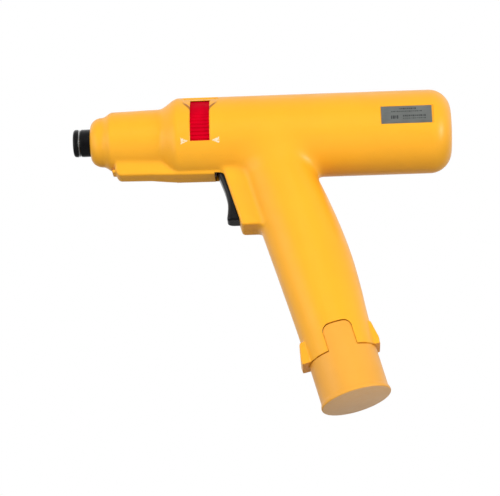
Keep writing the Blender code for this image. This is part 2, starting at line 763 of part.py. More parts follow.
def make_motor():
    can = [(MOTOR[0], MOTOR_R), (MOTOR[1], MOTOR_R), (MOTOR[1], 5.0), (MOTOR[1] + 1.5, 5.0),
           (MOTOR[1] + 1.5, SHAFT_R + RUNNING), (MOTOR[1] - 1.0, SHAFT_R + RUNNING),
           (MOTOR[1] - 1.0, MOTOR_INNER_R), (MOTOR[0], MOTOR_INNER_R)]
    case = turned("motor_can", can, "zinc")
    plate = turned("motor_mount_plate", tube_profile(50.2, 51.3, 5.2, GEAR_CASE_R), "steel")
    profile = [(47.2, 0), (47.2, 1.0), (51.5, 1.0), (51.5, 1.9), (52.6, 1.9), (52.6, 0)]
    for k, y in enumerate((-MOUNT_SCREW_Y, MOUNT_SCREW_Y)):
        at = (0, y, 0)
        way = turned(f"tool_mount_hole_{k + 1}", rod_profile(45, 55, 1.15), None, steps=12, location=at)
        boolean(case, way, solver="MANIFOLD")
        boolean(plate, way)
        turned(f"motor_mount_screw_{k + 1}", profile, "zinc", steps=SMALL_STEPS, location=at)
    for name, start in (("motor_magnet_upper", 25), ("motor_magnet_lower", 205)):
        end = start + MAGNET_SPAN
        arcs = arc(0, 0, MAGNET_R[1], start, end, 12) + arc(0, 0, MAGNET_R[0], end, start, 12)
        flat(name, [arcs], MAGNET_LENGTH, "ferrite", BARREL, location=(0, 0, CORE_MIDDLE),
             rotation=(0, 0, math.radians(-90)))
    turned("motor_shaft", rod_profile(*SHAFT, SHAFT_R), "steel", steps=16)
    core = []
    for k in range(3):
        a = 120 * k
        core += arc(0, 0, 3.6, a - 35, a - 27, 2) + arc(0, 0, 8.4, a - 11, a - 11, 1)
        core += arc(0, 0, 8.9, a - 40, a - 40, 1) + arc(0, 0, CORE_R, a - 48, a + 48, 9)
        core += arc(0, 0, 8.9, a + 40, a + 40, 1) + arc(0, 0, 8.4, a + 11, a + 11, 1)
        core += arc(0, 0, 3.6, a + 27, a + 35, 2)
    bore = circle(0, 0, SHAFT_R + SEAT, 16)
    flat("armature_core", [core, bore], CORE_LENGTH, "steel", BARREL, location=(0, 0, CORE_MIDDLE))
    coils = []
    for k in range(3):
        loops = [[(-4.0, -12.3), (4.0, -12.3), (4.0, 12.3), (-4.0, 12.3)],
                 [(-1.95, -10.3), (1.95, -10.3), (1.95, 10.3), (-1.95, 10.3)]]
        pole = flat(f"tool_coil_{k + 1}", loops, 2.3, None, None)
        turn = Matrix.Rotation(math.tau * k / 3, 4, "Z")
        stand = Matrix(((0, 0, 1, 0), (1, 0, 0, 0), (0, 1, 0, 0), (0, 0, 0, 1)))
        out = Matrix.Translation(Vector((5.9, 0, CORE_MIDDLE)) * MM)
        pole.matrix_basis = turn @ out @ stand
        pole.parent = BARREL
        coils.append(pole)
    windings = turned("armature_windings", tube_profile(22.0, 23.3, 4.3, 6.4), "copper")
    for pole in coils:
        boolean(windings, pole, "UNION")
    turned("commutator", tube_profile(*COMMUTATOR, SHAFT_R + SEAT, COMMUTATOR_R), "copper", steps=16)
    rear, flange, front = END_BELL
    bell = [(rear, SHAFT_R + RUNNING), (rear, 3.4), (flange, 3.4), (flange, 13.5), (front, 13.5),
            (front, SHAFT_R + RUNNING)]
    bell = turned("motor_end_bell", bell, "white_plastic")
    for k, side in enumerate((-1, 1)):
        near, far = sorted((side * 3.45, side * 9.2))
        brush = box(f"motor_brush_{k + 1}", (-1.1, near, 17.4), (1.1, far, 20.0), "carbon", BARREL)
        near, far = sorted((side * 8.6, side * 9.3))
        strip = box(f"tool_brush_strip_{k + 1}", (-1.0, near, 8.4), (1.0, far, 19.0), None, BARREL)
        boolean(brush, strip, "UNION")
        near, far = sorted((side * 8.3, side * 9.6))
        boolean(bell, box(f"tool_bell_slot_{k + 1}", (-1.4, near, 8), (1.4, far, 19), None, BARREL))


def make_gearbox():
    middle = (GEAR_CASE[0] + GEAR_CASE[1]) / 2
    ring_pitch = GEAR_MODULE * RING_TEETH / 2
    teeth = gear_outline(RING_TEETH, ring_pitch + 0.75, ring_pitch - 0.5, BACKLASH, flank=1)
    case = circle(0, 0, GEAR_CASE_R, 48)
    flat("ring_gear", [case, teeth], GEAR_CASE[1] - GEAR_CASE[0], "white_plastic", BARREL,
         location=(0, 0, middle))
    sun_pitch = GEAR_MODULE * SUN_TEETH / 2
    sun = gear_outline(SUN_TEETH, sun_pitch + 0.52, sun_pitch - 0.75, -BACKLASH)
    bore = circle(0, 0, SHAFT_R + SEAT, 16)
    flat("sun_pinion", [sun, bore], SUN_LENGTH, "brass", BARREL, location=(0, 0, GEAR_MIDDLE),
         rotation=(0, 0, math.pi / SUN_TEETH))
    planet_pitch = GEAR_MODULE * PLANET_TEETH / 2
    planet = gear_outline(PLANET_TEETH, planet_pitch + 0.5, planet_pitch - 0.72, -BACKLASH, flank=1)
    for k, frame in enumerate(PLANET_FRAMES):
        flat(f"planet_gear_{k + 1}", [planet, circle(0, 0, PLANET_PIN_R + 0.12, 16)], PLANET_WIDTH,
             "white_plastic", frame, location=(0, 0, GEAR_MIDDLE))
    start, plate_end, end = CARRIER
    neck, groove = CARRIER_NECK_R, CARRIER_NECK_R - 0.4
    carrier = [(start, 2.3), (start, CARRIER_R), (plate_end, CARRIER_R), (plate_end, neck),
               (SPINDLE_CLIP[0], neck), (SPINDLE_CLIP[0], groove), (SPINDLE_CLIP[1], groove),
               (SPINDLE_CLIP[1], neck), (end, neck), (end, 2.3)]
    plate = turned("planet_carrier", carrier, "zinc")
    for k, frame in enumerate(PLANET_FRAMES):
        pin = turned(f"tool_planet_pin_{k + 1}", rod_profile(53.6, 63.5, PLANET_PIN_R), None, frame, 16)
        boolean(plate, pin, "UNION")
    bush_r = 6.5
    turned("gearbox_cover", tube_profile(*COVER, bush_r + RUNNING, GEAR_CASE_R), "white_plastic")
    bush = tube_profile(COVER[0] + 0.1, COVER[1] + 0.8, neck + RUNNING, bush_r)
    turned("gearbox_bush", bush, "bronze")
    clip = tube_profile(SPINDLE_CLIP[0] + 0.05, SPINDLE_CLIP[1] - 0.1, groove + 0.1, 6.2)
    turned("spindle_retaining_ring", clip, "steel")
    spindle = [(62.9, 0), (62.9, 2.2), (72.8, 2.2), (72.8, SPINDLE_R), (SPINDLE_END - 0.5, SPINDLE_R),
               (SPINDLE_END, SPINDLE_R - 0.5), (SPINDLE_END, 1.7), (SPINDLE_END - 14, 1.7),
               (SPINDLE_END - 14, 0)]
    turned("output_spindle", spindle, "steel")


def make_index_ring():
    """A ribbed rim on a web and a hub."""
    rim = []
    for k in range(2 * RIBS):
        a = math.pi * k / RIBS
        r = RING_R - RIB_DEPTH * (k % 2)
        rim.append((r * math.cos(a), r * math.sin(a)))
    ring = flat("index_ring", [rim], RING[1] - RING[0], "red_plastic", BARREL,
                location=(0, 0, sum(RING) / 2))
    hollow_back = tube_profile(RING[0] - 1, RING[0] + RING_HOLLOW_DEPTH, *RING_HOLLOW_R)
    hollow_front = tube_profile(RING[1] - RING_HOLLOW_DEPTH, RING[1] + 1, *RING_HOLLOW_R)
    boolean(ring, turned("tool_ring_back", hollow_back, None))
    boolean(ring, turned("tool_ring_front", hollow_front, None))
    boolean(ring, turned("tool_ring_bore", rod_profile(100, 150, SLEEVE_R + 0.1), None))


def make_nose():
    flange = CLIP[1] + 0.15
    sleeve = [(SLEEVE_BACK, SLEEVE_BORE_R), (SLEEVE_BACK, SLEEVE_R), (CLIP[0] - 0.1, SLEEVE_R),
              (CLIP[0] - 0.1, 5.0), (CLIP[1] + 0.1, 5.0), (CLIP[1] + 0.1, SLEEVE_R),
              (flange, SLEEVE_R), (flange, 6.4), (flange + 0.45, COLLAR_OUTER_R),
              (NOSE_TIP - 1.2, COLLAR_OUTER_R), (NOSE_TIP - 0.35, 6.5), (NOSE_TIP, 5.8),
              (NOSE_TIP, SLEEVE_BORE_R)]
    holder = turned("sleeve_holder", sleeve, "black_steel")
    way = turned("tool_ball_hole", rod_profile(2, 8, BALL_R + RUNNING), None, BARREL, SMALL_STEPS,
                 location=(0, 0, BALL[1]), rotation=(0, math.radians(90), 0))
    boolean(holder, way)
    edit = bmesh.new()
    bmesh.ops.create_icosphere(edit, subdivisions=2, radius=BALL_R * MM)
    mesh = bpy.data.meshes.new("locking_ball")
    edit.to_mesh(mesh)
    edit.free()
    place(bpy.data.objects.new("locking_ball", mesh), "steel", BARREL, (BALL[0], 0, BALL[1]))
    collar = [(COLLAR[0], SLEEVE_R + RUNNING), (COLLAR[0], COLLAR_OUTER_R),
              (COLLAR[1] - 0.4, COLLAR_OUTER_R), (COLLAR[1], COLLAR_OUTER_R - 0.4),
              (COLLAR[1], SLEEVE_R + RUNNING)]
    turned("release_collar", collar, "black_steel")
    wire("collar_spring", coil(*COLLAR_SPRING, 6.25, 6.25, 4), 0.35, "steel", BARREL, 1)
    turned("collar_retaining_ring", tube_profile(*CLIP, 5.15, 5.9), "steel")
    turned("nose_bush", tube_profile(*NOSE_BUSH, SLEEVE_R + RUNNING, 9.0), "bronze")
    turned("rear_sleeve_bush", tube_profile(*REAR_BUSH, SLEEVE_R + RUNNING, 8.0), "bronze")


def make_cap():
    seam = GRIP_END + GAP
    profile = [(seam, CAP_BORE_R), (seam, CAP_R), (138.6, CAP_R - 0.1), (141.2, CAP_R + 0.05),
               (143.0, CAP_LIP_R - 0.15), (144.2, CAP_LIP_R), (CAP_BOTTOM, CAP_LIP_R - 0.15),
               (CAP_BOTTOM, 0), (CAP_FLOOR, 0), (CAP_FLOOR, CAP_BORE_R)]
    cap = turned("battery_cap", profile, "yellow_plastic", GRIP, 32)
    strip = turned("tool_cap_strip", tube_profile(TONGUE_TOP - 3, seam + 2, CELL_BAY_R + 0.4, CAP_R),
                   None, GRIP, 32)
    outline = rounded_tongue(TONGUE_HALF, TONGUE_TOP, seam + 1, TONGUE_CORNER)
    turn = (math.radians(90), 0, 0)
    tongue = flat("tool_cap_tongue", [outline], 60.0, None, GRIP, rotation=turn)
    boolean(strip, tongue, "INTERSECT")
    boolean(cap, strip, "UNION")
    turned("cap_contact_plate", rod_profile(141.0, 141.4, 12.8), "brass", GRIP)
    wire("cap_contact_spring", coil(140.5, 138.3, 6.5, 4.0, 2.5), 0.35, "steel", GRIP, 1)


def make_cells():
    for name, top in (("battery_upper", CELLS_TOP), ("battery_lower", CELLS_TOP + CELL_LENGTH)):
        body = top + 1.9
        bottom = top + CELL_LENGTH - GAP
        profile = [(top, 0), (top, CELL_NUB_R), (body, CELL_NUB_R), (body, CELL_R - 0.7),
                   (body + 0.7, CELL_R), (bottom, CELL_R), (bottom, 0)]
        turned(name, profile, "cell_jacket", GRIP, 24)


def make_contacts():
    turned("contact_holder", rod_profile(33.0, 35.6, CELL_BAY_R - GAP), "black_plastic", GRIP, 24)
    contact = [(35.9, 0), (35.9, 6.0), (36.4, 6.0), (36.9, 2.6), (37.1, 0)]
    turned("upper_contact", contact, "brass", GRIP, 16)
    box("ground_strip", (-13.95, -2.0, 38.0), (-13.6, 2.0, 140.6), "brass", GRIP)


def make_leads():
    up, rear = -17.0, -10.75
    for name, side, start in (("red_motor_lead", -1, (-100.5, 0, -20.6)),
                              ("black_motor_lead", 1, (-92.0, 2.6, -21.0))):
        y = side * 4.4
        marks = [start, (start[0] + 1.8, side * 1.5, -18.6), (-89.0, y * 0.8, up + 0.2),
                 (-80.0, y, up), (-66.0, y, up), (-50.0, y, up), (-34.0, y, up), (-18.0, y, up),
                 (-12.2, y, up + 0.4), (rear, side * 5.4, -14.0), (rear, side * 8.2, -9.0),
                 (rear + 0.1, side * 8.6, -5.6), (rear + 0.6, side * 8.9, -3.2),
                 (rear + 1.0, side * 8.95, -1.9)]
        wire(name, smooth_route(marks, 2), 0.6, name.split("_")[0] + "_wire", None, 1)
    up_x, up_z = grip_point(32.4, 6.0)
    marks = [(-96.5, 0, -20.9), (-95.6, 0, -19.4), (-93.4, 0, -20.6), (-92.0, 0, -24.0),
             (up_x, 0, up_z)]
    wire("battery_lead", smooth_route(marks, 3), 0.6, "red_wire", None, 1)


make_housing()
make_housing_screws()
make_trigger()
make_switch()
make_motor()
make_gearbox()
make_index_ring()
make_nose()
make_cap()
make_cells()
make_contacts()
make_leads()
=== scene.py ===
"""Looks of the cordless pistol-grip rotary hand tool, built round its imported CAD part.

Lengths are in millimetres until a mesh is made. +X points out of the barrel's rear face, the nose
points to -X and +Z is up. Three ways of naming a place are used besides world X, Y, Z:
  f: distance forwards of the rear face, which is -X;
  s, u: distance down the grip's axis, and forwards of it;
  angle: degrees up from the world's -Y (or +Y) side round the barrel.
The outer skin is worked out as one blended distance field, so its fillets are smooth, and the
hollows are taken from the CAD halves.
"""

import json
import math

import bmesh
import bpy
import numpy as np
from mathutils import Matrix, Vector


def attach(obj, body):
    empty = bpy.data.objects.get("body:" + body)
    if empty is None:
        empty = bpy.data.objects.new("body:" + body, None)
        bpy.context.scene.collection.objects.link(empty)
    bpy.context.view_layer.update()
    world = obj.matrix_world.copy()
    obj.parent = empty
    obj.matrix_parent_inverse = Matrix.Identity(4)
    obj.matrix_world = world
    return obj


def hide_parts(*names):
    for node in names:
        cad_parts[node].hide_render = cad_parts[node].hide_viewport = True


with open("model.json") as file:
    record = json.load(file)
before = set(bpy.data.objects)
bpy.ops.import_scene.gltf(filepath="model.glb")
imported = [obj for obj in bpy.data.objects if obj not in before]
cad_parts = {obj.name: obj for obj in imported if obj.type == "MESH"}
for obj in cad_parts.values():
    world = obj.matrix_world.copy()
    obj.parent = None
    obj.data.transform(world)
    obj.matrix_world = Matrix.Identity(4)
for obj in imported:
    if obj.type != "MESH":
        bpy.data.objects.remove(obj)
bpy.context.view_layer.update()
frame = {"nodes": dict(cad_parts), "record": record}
MM = 0.001

# Barrel and nose
BARREL_R = 20.8
REAR_FACE = 0.5
REAR_CORNER = 10.8
SHOULDER = (135.4, 145.8)
NOSE_R = 15.55
NOSE_TIP_R = 14.9
STEP = (168.9, 174.0)
COLLAR_R = 12.4
NOSE_END = 180.0
NOSE_FACE_R = 7.6
NOSE_BORE_R = 7.3
SEAM_Y = 0.75
SEAM_HALF = 0.06

# Grip
GRIP_X = -89.2
GRIP_TILT = math.radians(14.77)
GRIP_END = 122.0
# distance down the grip, reach forwards, reach backwards, half width
GRIP_SECTIONS = (
    (0.0, 20.6, 14.0, 13.6),
    (13.0, 20.5, 14.0, 16.5),
    (25.0, 20.3, 14.6, 17.5),
    (42.0, 19.7, 16.9, 17.7),
    (58.0, 19.0, 18.5, 17.5),
    (76.0, 18.3, 19.2, 17.3),
    (92.0, 17.7, 18.55, 17.2),
    (107.0, 17.25, 17.5, 17.2),
    (122.0, 17.2, 17.2, 17.2),
)
LUG_HALF = 6.8
# distance down the grip, reach of the lug's outer face from the grip's axis
LUG_REAR = ((109.9, 17.4), (118.8, 18.9), (GRIP_END, 18.5))
LUG_FRONT = ((111.2, 18.5), (119.6, 20.15), (GRIP_END, 20.0))

# Trigger box and keel, in world X and Z
GUARD_HALF = 7.3
GUARD_BOTTOM = -50.0
GUARD_OUTLINE = (
    (-88.0, -8.0), (-118.5, -8.0), (-118.5, -14.6), (-115.4, -17.4), (-113.6, -21.5),
    (-106.3, -46.0), (-103.6, -56.0), (-88.0, -56.0),
)
SLOT_HALF = 5.4
SLOT_OUTLINE = ((-118.2, -10.0), (-118.2, -27.0), (-114.0, -46.3), (-100.0, -46.3), (-100.0, -10.0))
KEEL_F = (112.0, 137.0, 150.0, 165.4, 171.0)
KEEL_BOTTOM = (-21.45, -21.3, -20.4, -20.2, -20.2)
KEEL_LOW_HALF = (5.4, 5.4, 4.3, 4.1, 4.0)
KEEL_HIGH_HALF = (7.2, 7.2, 7.6, 7.6, 7.4)
KEEL_SIDE_TOP = -10.0
KEEL_FRONT = ((167.8, -10.0), (167.5, -17.4), (166.0, -20.4))
KEEL_LIP = (168.0, -17.0)
KEEL_LIP_HALF = (1.2, 3.0, 0.9)

# Width of the fillet where each shape meets those before it
GRIP_FILLET = 6.5
GUARD_FILLET = 2.6
KEEL_FILLET = 1.1
LUG_FILLET = 0.8

# Solids that take in the housing's hollow: depth under the skin; front end as f and radius; cell bay
# as distance down the grip and radius; trigger box in world X and Z
SPACE_INSET = 0.8
SPACE_NOSE = ((176.5, 11.2), (178.5, 9.5), (178.5, 0))
BAY_TOP = (13.0, 12.6)
BAY_CELLS = (32.0, 15.2)
GUARD_SPACE = ((-116.9, -12.0), (-112.3, -24.0), (-105.6, -47.6), (-91.0, -47.6), (-91.0, -12.0))
GUARD_SPACE_HALF = 6.4

# Ring, windows and pointers
RING_R = 19.4
RING = (118.8, 130.6)
WINDOW = (119.7, 129.3)
WINDOW_ANGLES = (-27.3, 48.0)
RIBS = 63
RIB_DEPTH = 0.6
POINTS_PER_RIB = 12
SMOOTH_BAND = (14.0, 52.0)
SMOOTH_BAND_DEPTH = 0.12
RING_EDGE = 0.4
RING_HOLLOW_DEPTH = 4.3
RING_HOLLOW_R = (8.2, 17.2)
# Scoop round the window's upper end: forward distance from its middle, angle; SPAN is the size of the
# solid that cuts it, LIFT how far that starts outside the skin, and the last the ends of its painted shade
# line
SCOOP = ((-9.4, 62.0), (-9.4, 45.0), (-8.4, 36.5), (-4.3, 21.5),
         (4.3, 21.5), (8.4, 36.5), (9.4, 45.0), (9.4, 62.0))
SCOOP_DEPTH = 0.7
SCOOP_SLOPE = 1.3
SCOOP_LIFT = 0.3
SCOOP_SPAN = (10.5, (15.0, 66.0))
SCOOP_SHADE_LINE = ((4.8, 23.6), (8.2, 36.8))
WINDOW_CHAMFER = 0.5
POINTER_ANGLES = (-31.6, -22.4)
POINTERS = ((133.9, 130.35), (114.9, 118.6))

# Label
LABEL = (10.6, 35.3)
LABEL_ANGLE = 13.0
LABEL_R = 20.72
LABEL_RECESS = (9.75, 35.6)
LABEL_RECESS_ANGLE = 13.9
LABEL_SUNK = 0.5
LABEL_ROWS = (
    # rear end and forward end along the barrel, lower and upper angle
    (18.2, 26.2, 7.4, 9.7),
    (15.4, 30.4, 3.4, 5.0),
    (13.6, 25.2, -3.9, -1.3),
    (13.6, 25.0, -6.9, -5.6),
    (27.0, 30.6, -6.6, -1.6),
)
MARK_WIDTHS = (0.75, 0.45, 0.95, 0.6)
MARK_LIFTS = (0.0, 0.35, 0.15)
MARK_GAP = 0.26

# Cap and cells
SEAM_S = 122.3
CAP_R = 16.6
CAP_LIP_R = 17.2
CAP_BOTTOM = 144.7
CAP_FLOOR = 141.7
CAP_BORE_R = 14.3
STRIP_BORE_R = 15.0
TONGUE_HALF = 7.0
TONGUE_TOP = 109.5
TONGUE_CORNER = 3.5
TONGUE_GAPS = (0.16, 0.45, 0.3)  # beside, above, and added to the corner's radius
CELL_R = 13.1
CELL_LENGTH = 49.7
CELL_PITCH = 50.0
CELL_TOPS = {"battery_upper": 37.5, "battery_lower": 87.5}

# Nose set
SLEEVE_R = 5.5
SLEEVE_BORE_R = 3.5
SLEEVE_BACK = 95.4
TIP = 188.7
COLLAR = (176.0, 185.0)
COLLAR_OUTER_R = 6.9
CLIP = (185.2, 186.0)
CLIP_R = (5.15, 6.75)
CLIP_OPENING = 26.0  # degrees
CLIP_GROOVE_R = 5.0
BALL_F = 181.5
BALL_R = 1.0
BALL_OUT = 4.55
BALL_WAY_R = 1.15

# Trigger, world X and Z
PIVOT = (-113.0, -15.0)
TRIGGER_HALF = 4.6
TRIGGER_BOTTOM = -46.1
TRIGGER_HUB_R = 3.08
TRIGGER_BORE_R = 1.65
TRIGGER_FRONT = ((-116.7, -16.5), (-116.6, -20.7), (-114.9, -25.4), (-113.3, -30.2), (-112.2, -34.9),
                 (-111.9, -38.8), (-112.2, -43.0), (-112.4, -44.6), (-112.1, -46.0), (-111.0, -47.4),
                 (-110.0, -49.0))
TRIGGER_REAR = ((-104.8, -49.0), (-104.9, -45.4), (-106.3, -40.8), (-106.3, -33.0), (-107.8, -26.0),
                (-109.6, -19.0), (-109.95, -15.6))

# Screws
SCREW_R = 1.25
SCREW_HEAD_R = 2.1
SCREW_RECESS_R = 2.3
SCREW_TIP = -5.0
THREAD_PITCH = 0.6

# How far a finish's roughness strays either way
ROUGHNESS_SPREAD = 0.06

# Springs: start, end, radius at the start and at the end, turns; then the wire's radius
TRIGGER_SPRING_AT = (-107.0, 0, -29.0)
TRIGGER_SPRING = ((0.3, 4.3, 1.6, 1.6, 4), 0.24)
COLLAR_SPRING = ((168.9, 175.5, 6.25, 6.25, 4), 0.34)
CAP_SPRING = ((140.5, 138.3, 6.5, 4.0, 2.5), 0.34)

# Camera: place, then yaw, pitch and roll in degrees
CAMERA = (-66.3, -967.7, -463.5)
CAMERA_TURN = (-2.085, 22.638, -1.08)
LENS = 154.6
SENSOR = 36.0

# Studio: name, place in metres, size, power in watts
LIGHTS = (
    ("key", (-0.09, -1.75, 0.3), (1.1, 1.1), 25.2),
    ("right", (0.86, -0.51, -0.2), (0.22, 0.45), 3.6),
    ("left", (-1.04, -0.51, -0.2), (0.7, 0.9), 2.8),
)
DOME_LIGHT = 0.3
MIRRORED = (0.3, 1.15)  # what glossy faces mirror: brightness in front of the tool, behind it
MIRRORED_BELOW = 0.15
LIGHTS_AIM = (-0.09, 0, -0.05)  # metres, as the floor's sizes are
FLOOR_Z = -0.62
FLOOR_HALF = 4
FLOOR_COLOUR = (0.62, 0.62, 0.61)

# Boxes and grid steps of the two blended surfaces
SKIN_BOX = ((-183.0, -23.0, -130.0), (2.5, 23.0, 23.0))
SKIN_STEP = 0.75
TRIGGER_BOX = ((-118.5, -5.6, -47.0), (-103.0, 5.6, -10.5))
TRIGGER_STEP = 0.3
ROUND = 96


# ---- placing

def grip_point(s, u):
    """World X and Z of a place down the grip."""
    x = GRIP_X + s * math.sin(GRIP_TILT) - u * math.cos(GRIP_TILT)
    z = -s * math.cos(GRIP_TILT) - u * math.sin(GRIP_TILT)
    return x, z


SCREWS = (
    # world X and Z, Y of the head's underside
    (-6.3, 11.5, 6.0),
    (-6.3, -11.5, 6.0),
    (-78.0, 12.0, 8.0),
    (-151.0, 9.8, 5.0),
    (*grip_point(25.5, 0.0), 8.0),
    (-96.4, -44.6, 4.6),
    (*grip_point(116.0, 17.0), 4.6),
    (*grip_point(116.0, -17.0), 4.6),
)

# Each matrix takes a local frame in millimetres to the world in metres.
SCALE = Matrix.Scale(MM, 4)
BARREL = SCALE @ Matrix.Rotation(math.radians(-90), 4, "Y")
GRIP = SCALE @ Matrix.Translation((GRIP_X, 0, 0)) @ Matrix.Rotation(math.pi - GRIP_TILT, 4, "Y")
SIDE = SCALE @ Matrix.Rotation(math.radians(90), 4, "X")
ACROSS = Matrix.Rotation(math.radians(90), 4, "X")
DOWN_GRIP = (math.sin(GRIP_TILT), 0, -math.cos(GRIP_TILT))


def y_axis_at(x, z):
    """A frame whose Z runs along the world's Y from (x, z)."""
    return SCALE @ Matrix.Translation((x, 0, z)) @ Matrix.Rotation(math.radians(-90), 4, "X")


# ---- meshes

def linked(name, data):
    """A new object in the scene."""
    made = bpy.data.objects.new(name, data)
    bpy.context.scene.collection.objects.link(made)
    return made


def mesh_object(name, points, faces):
    mesh = bpy.data.meshes.new(name)
    mesh.from_pydata(points, [], faces)
    return linked(name, mesh)


def turned(name, profile, matrix, steps=ROUND):
    """A closed profile of (height, radius) points turned about the frame's Z."""
    points, rings = [], []
    for h, r in profile:
        if r < 1e-9:
            rings.append([len(points)] * steps)
            points.append(matrix @ Vector((0, 0, h)))
        else:
            rings.append([len(points) + k for k in range(steps)])
            for k in range(steps):
                a = math.tau * k / steps
                points.append(matrix @ Vector((r * math.cos(a), r * math.sin(a), h)))
    faces = []
    for first, second in zip(rings, rings[1:] + rings[:1]):
        for k in range(steps):
            j = (k + 1) % steps
            corners = list(dict.fromkeys((first[k], first[j], second[j], second[k])))
            if len(corners) > 2:
                faces.append(corners)
    return closed(name, points, faces)


def rod(name, low, high, radius, matrix, steps=ROUND):
    """A plain cylinder between two heights, to cut with."""
    return turned(name, [(low, 0), (low, radius), (high, radius), (high, 0)], matrix, steps)


def tube(name, low, high, inner, outer, matrix, steps=ROUND):
    """A cylinder with a bore."""
    return turned(name, [(low, inner), (low, outer), (high, outer), (high, inner)], matrix, steps)


def loft(name, rings):
    """A closed skin through rings of world points, capped at both ends."""
    count = len(rings[0])
    points = [point for ring in rings for point in ring]
    faces = [list(range(count)), list(range(len(points) - count, len(points)))]
    for k in range(len(rings) - 1):
        for i in range(count):
            j = (i + 1) % count
            faces.append([k * count + i, k * count + j, (k + 1) * count + j, (k + 1) * count + i])
    return closed(name, points, faces)


def extruded(name, outline, low, high, matrix):
    """A flat outline in the frame's XY plane, thick from low to high along its Z."""
    return loft(name, [[matrix @ Vector((x, y, z)) for x, y in outline] for z in (low, high)])


def closed(name, points, faces):
    """A closed mesh, with its faces turned outwards."""
    piece = mesh_object(name, points, faces)
    edit = bmesh.new()
    edit.from_mesh(piece.data)
    bmesh.ops.recalc_face_normals(edit, faces=edit.faces)
    edit.to_mesh(piece.data)
    edit.free()
    return piece


def cut(piece, *tools, operation="DIFFERENCE"):
    """Boolean the tools into the piece, one after another, then remove them."""
    for tool in tools:
        change = piece.modifiers.new("boolean", "BOOLEAN")
        change.object = tool
        change.operation = operation
        change.solver = "MANIFOLD"
    old = piece.data
    piece.data = evaluated_mesh(piece)
    piece.modifiers.clear()
    bpy.data.meshes.remove(old)
    piece.data.name = piece.name
    for tool in tools:
        bpy.data.objects.remove(tool, do_unlink=True)
    return piece


def evaluated_mesh(piece):
    graph = bpy.context.evaluated_depsgraph_get()
    return bpy.data.meshes.new_from_object(piece.evaluated_get(graph))


def solid_copy(node):
    """A welded, closed copy of a CAD node."""
    twin = linked("copy_" + node, frame["nodes"][node].data.copy())
    edit = bmesh.new()
    edit.from_mesh(twin.data)
    bmesh.ops.remove_doubles(edit, verts=edit.verts, dist=1e-7)
    edit.to_mesh(twin.data)
    edit.free()
    return twin


def finished(piece, body, material, slot, *nodes, angle=32):
    """Shade the piece, give it its finish, and tie it to the frame."""
    piece.data.shade_smooth()
    piece.data.set_sharp_from_angle(angle=math.radians(angle))
    piece.data.materials.clear()
    piece.data.materials.append(material)
    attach(piece, body)
    if nodes:
        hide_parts(*nodes)


def arc(cx, cy, radius, start, end, count):
    angles = np.radians(np.linspace(start, end, count))
    return [(cx + radius * math.cos(a), cy + radius * math.sin(a)) for a in angles]


def sector(inner, outer, low, high, side=-1, count=25):
    """An arc-shaped outline in the barrel frame, between two angles on one side."""
    angles = np.radians(np.linspace(low, high, count))
    return [(r * math.sin(a), side * r * math.cos(a))
            for r, way in ((outer, angles), (inner, angles[::-1])) for a in way]


def smoothstep(t):
    t = np.clip(t, 0.0, 1.0)
    return t * t * (3 - 2 * t)


# ---- the blended outer skin

def blend_min(a, b, k):
    """The nearer of two distances, with a fillet about k wide where they cross."""
    h = np.maximum(k - np.abs(a - b), 0.0) / k
    return np.minimum(a, b) - h * h * k / 4


def round_max(a, b, radius):
    """Where two solids overlap, with the edge rounded to a radius."""
    a, b = a + radius, b + radius
    return np.hypot(np.maximum(a, 0), np.maximum(b, 0)) + np.minimum(np.maximum(a, b), 0) - radius


def ellipse_distance(p, q, a, b):
    near = np.hypot(p / a, q / b)
    slope = np.hypot(p / a ** 2, q / b ** 2)
    return near * (near - 1) / np.maximum(slope, 1e-6)


def polygon_distance(px, pz, outline):
    nearest = np.full(px.shape, 1e12)
    inside = np.zeros(px.shape, bool)
    for (ax, az), (bx, bz) in zip(outline, outline[1:] + outline[:1]):
        ex, ez = bx - ax, bz - az
        wx, wz = px - ax, pz - az
        t = np.clip((wx * ex + wz * ez) / (ex * ex + ez * ez), 0, 1)
        nearest = np.minimum(nearest, (wx - ex * t) ** 2 + (wz - ez * t) ** 2)
        crosses = (az > pz) != (bz > pz)
        if ez:
            inside ^= crosses & (px < ax + ex * (pz - az) / ez)
    return np.where(inside, -1, 1) * np.sqrt(nearest)


def line_distance(p, q, start, end):
    """Signed distance from a line, positive on the left of start to end."""
    ex, ey = end[0] - start[0], end[1] - start[1]
    return (ex * (q - start[1]) - ey * (p - start[0])) / math.hypot(ex, ey)


def barrel_distance(f, r):
    width = SHOULDER[1] - SHOULDER[0]
    t = np.clip((f - SHOULDER[0]) / width, 0, 1)
    run = STEP[0] - SHOULDER[1]
    taper = np.clip((f - SHOULDER[1]) / run, 0, 1)
    drop = np.clip((f - STEP[0]) / (STEP[1] - STEP[0]), 0, 1)
    radius = (BARREL_R + (NOSE_R - BARREL_R) * smoothstep(t) + (NOSE_TIP_R - NOSE_R) * taper
              + (COLLAR_R - NOSE_TIP_R) * smoothstep(drop))
    slope = ((NOSE_R - BARREL_R) * 6 * t * (1 - t) / width
             + (COLLAR_R - NOSE_TIP_R) * 6 * drop * (1 - drop) / (STEP[1] - STEP[0]))
    middle = (r - radius) / np.sqrt(1 + slope ** 2)
    rear = round_max(r - BARREL_R, REAR_FACE - f, REAR_CORNER)
    front = ellipse_distance(np.maximum(f - STEP[1], 0), np.maximum(r - NOSE_FACE_R, 0),
                             NOSE_END - STEP[1], COLLAR_R - NOSE_FACE_R)
    return np.where(f < 80, rear, np.where(f < STEP[1], middle, front))


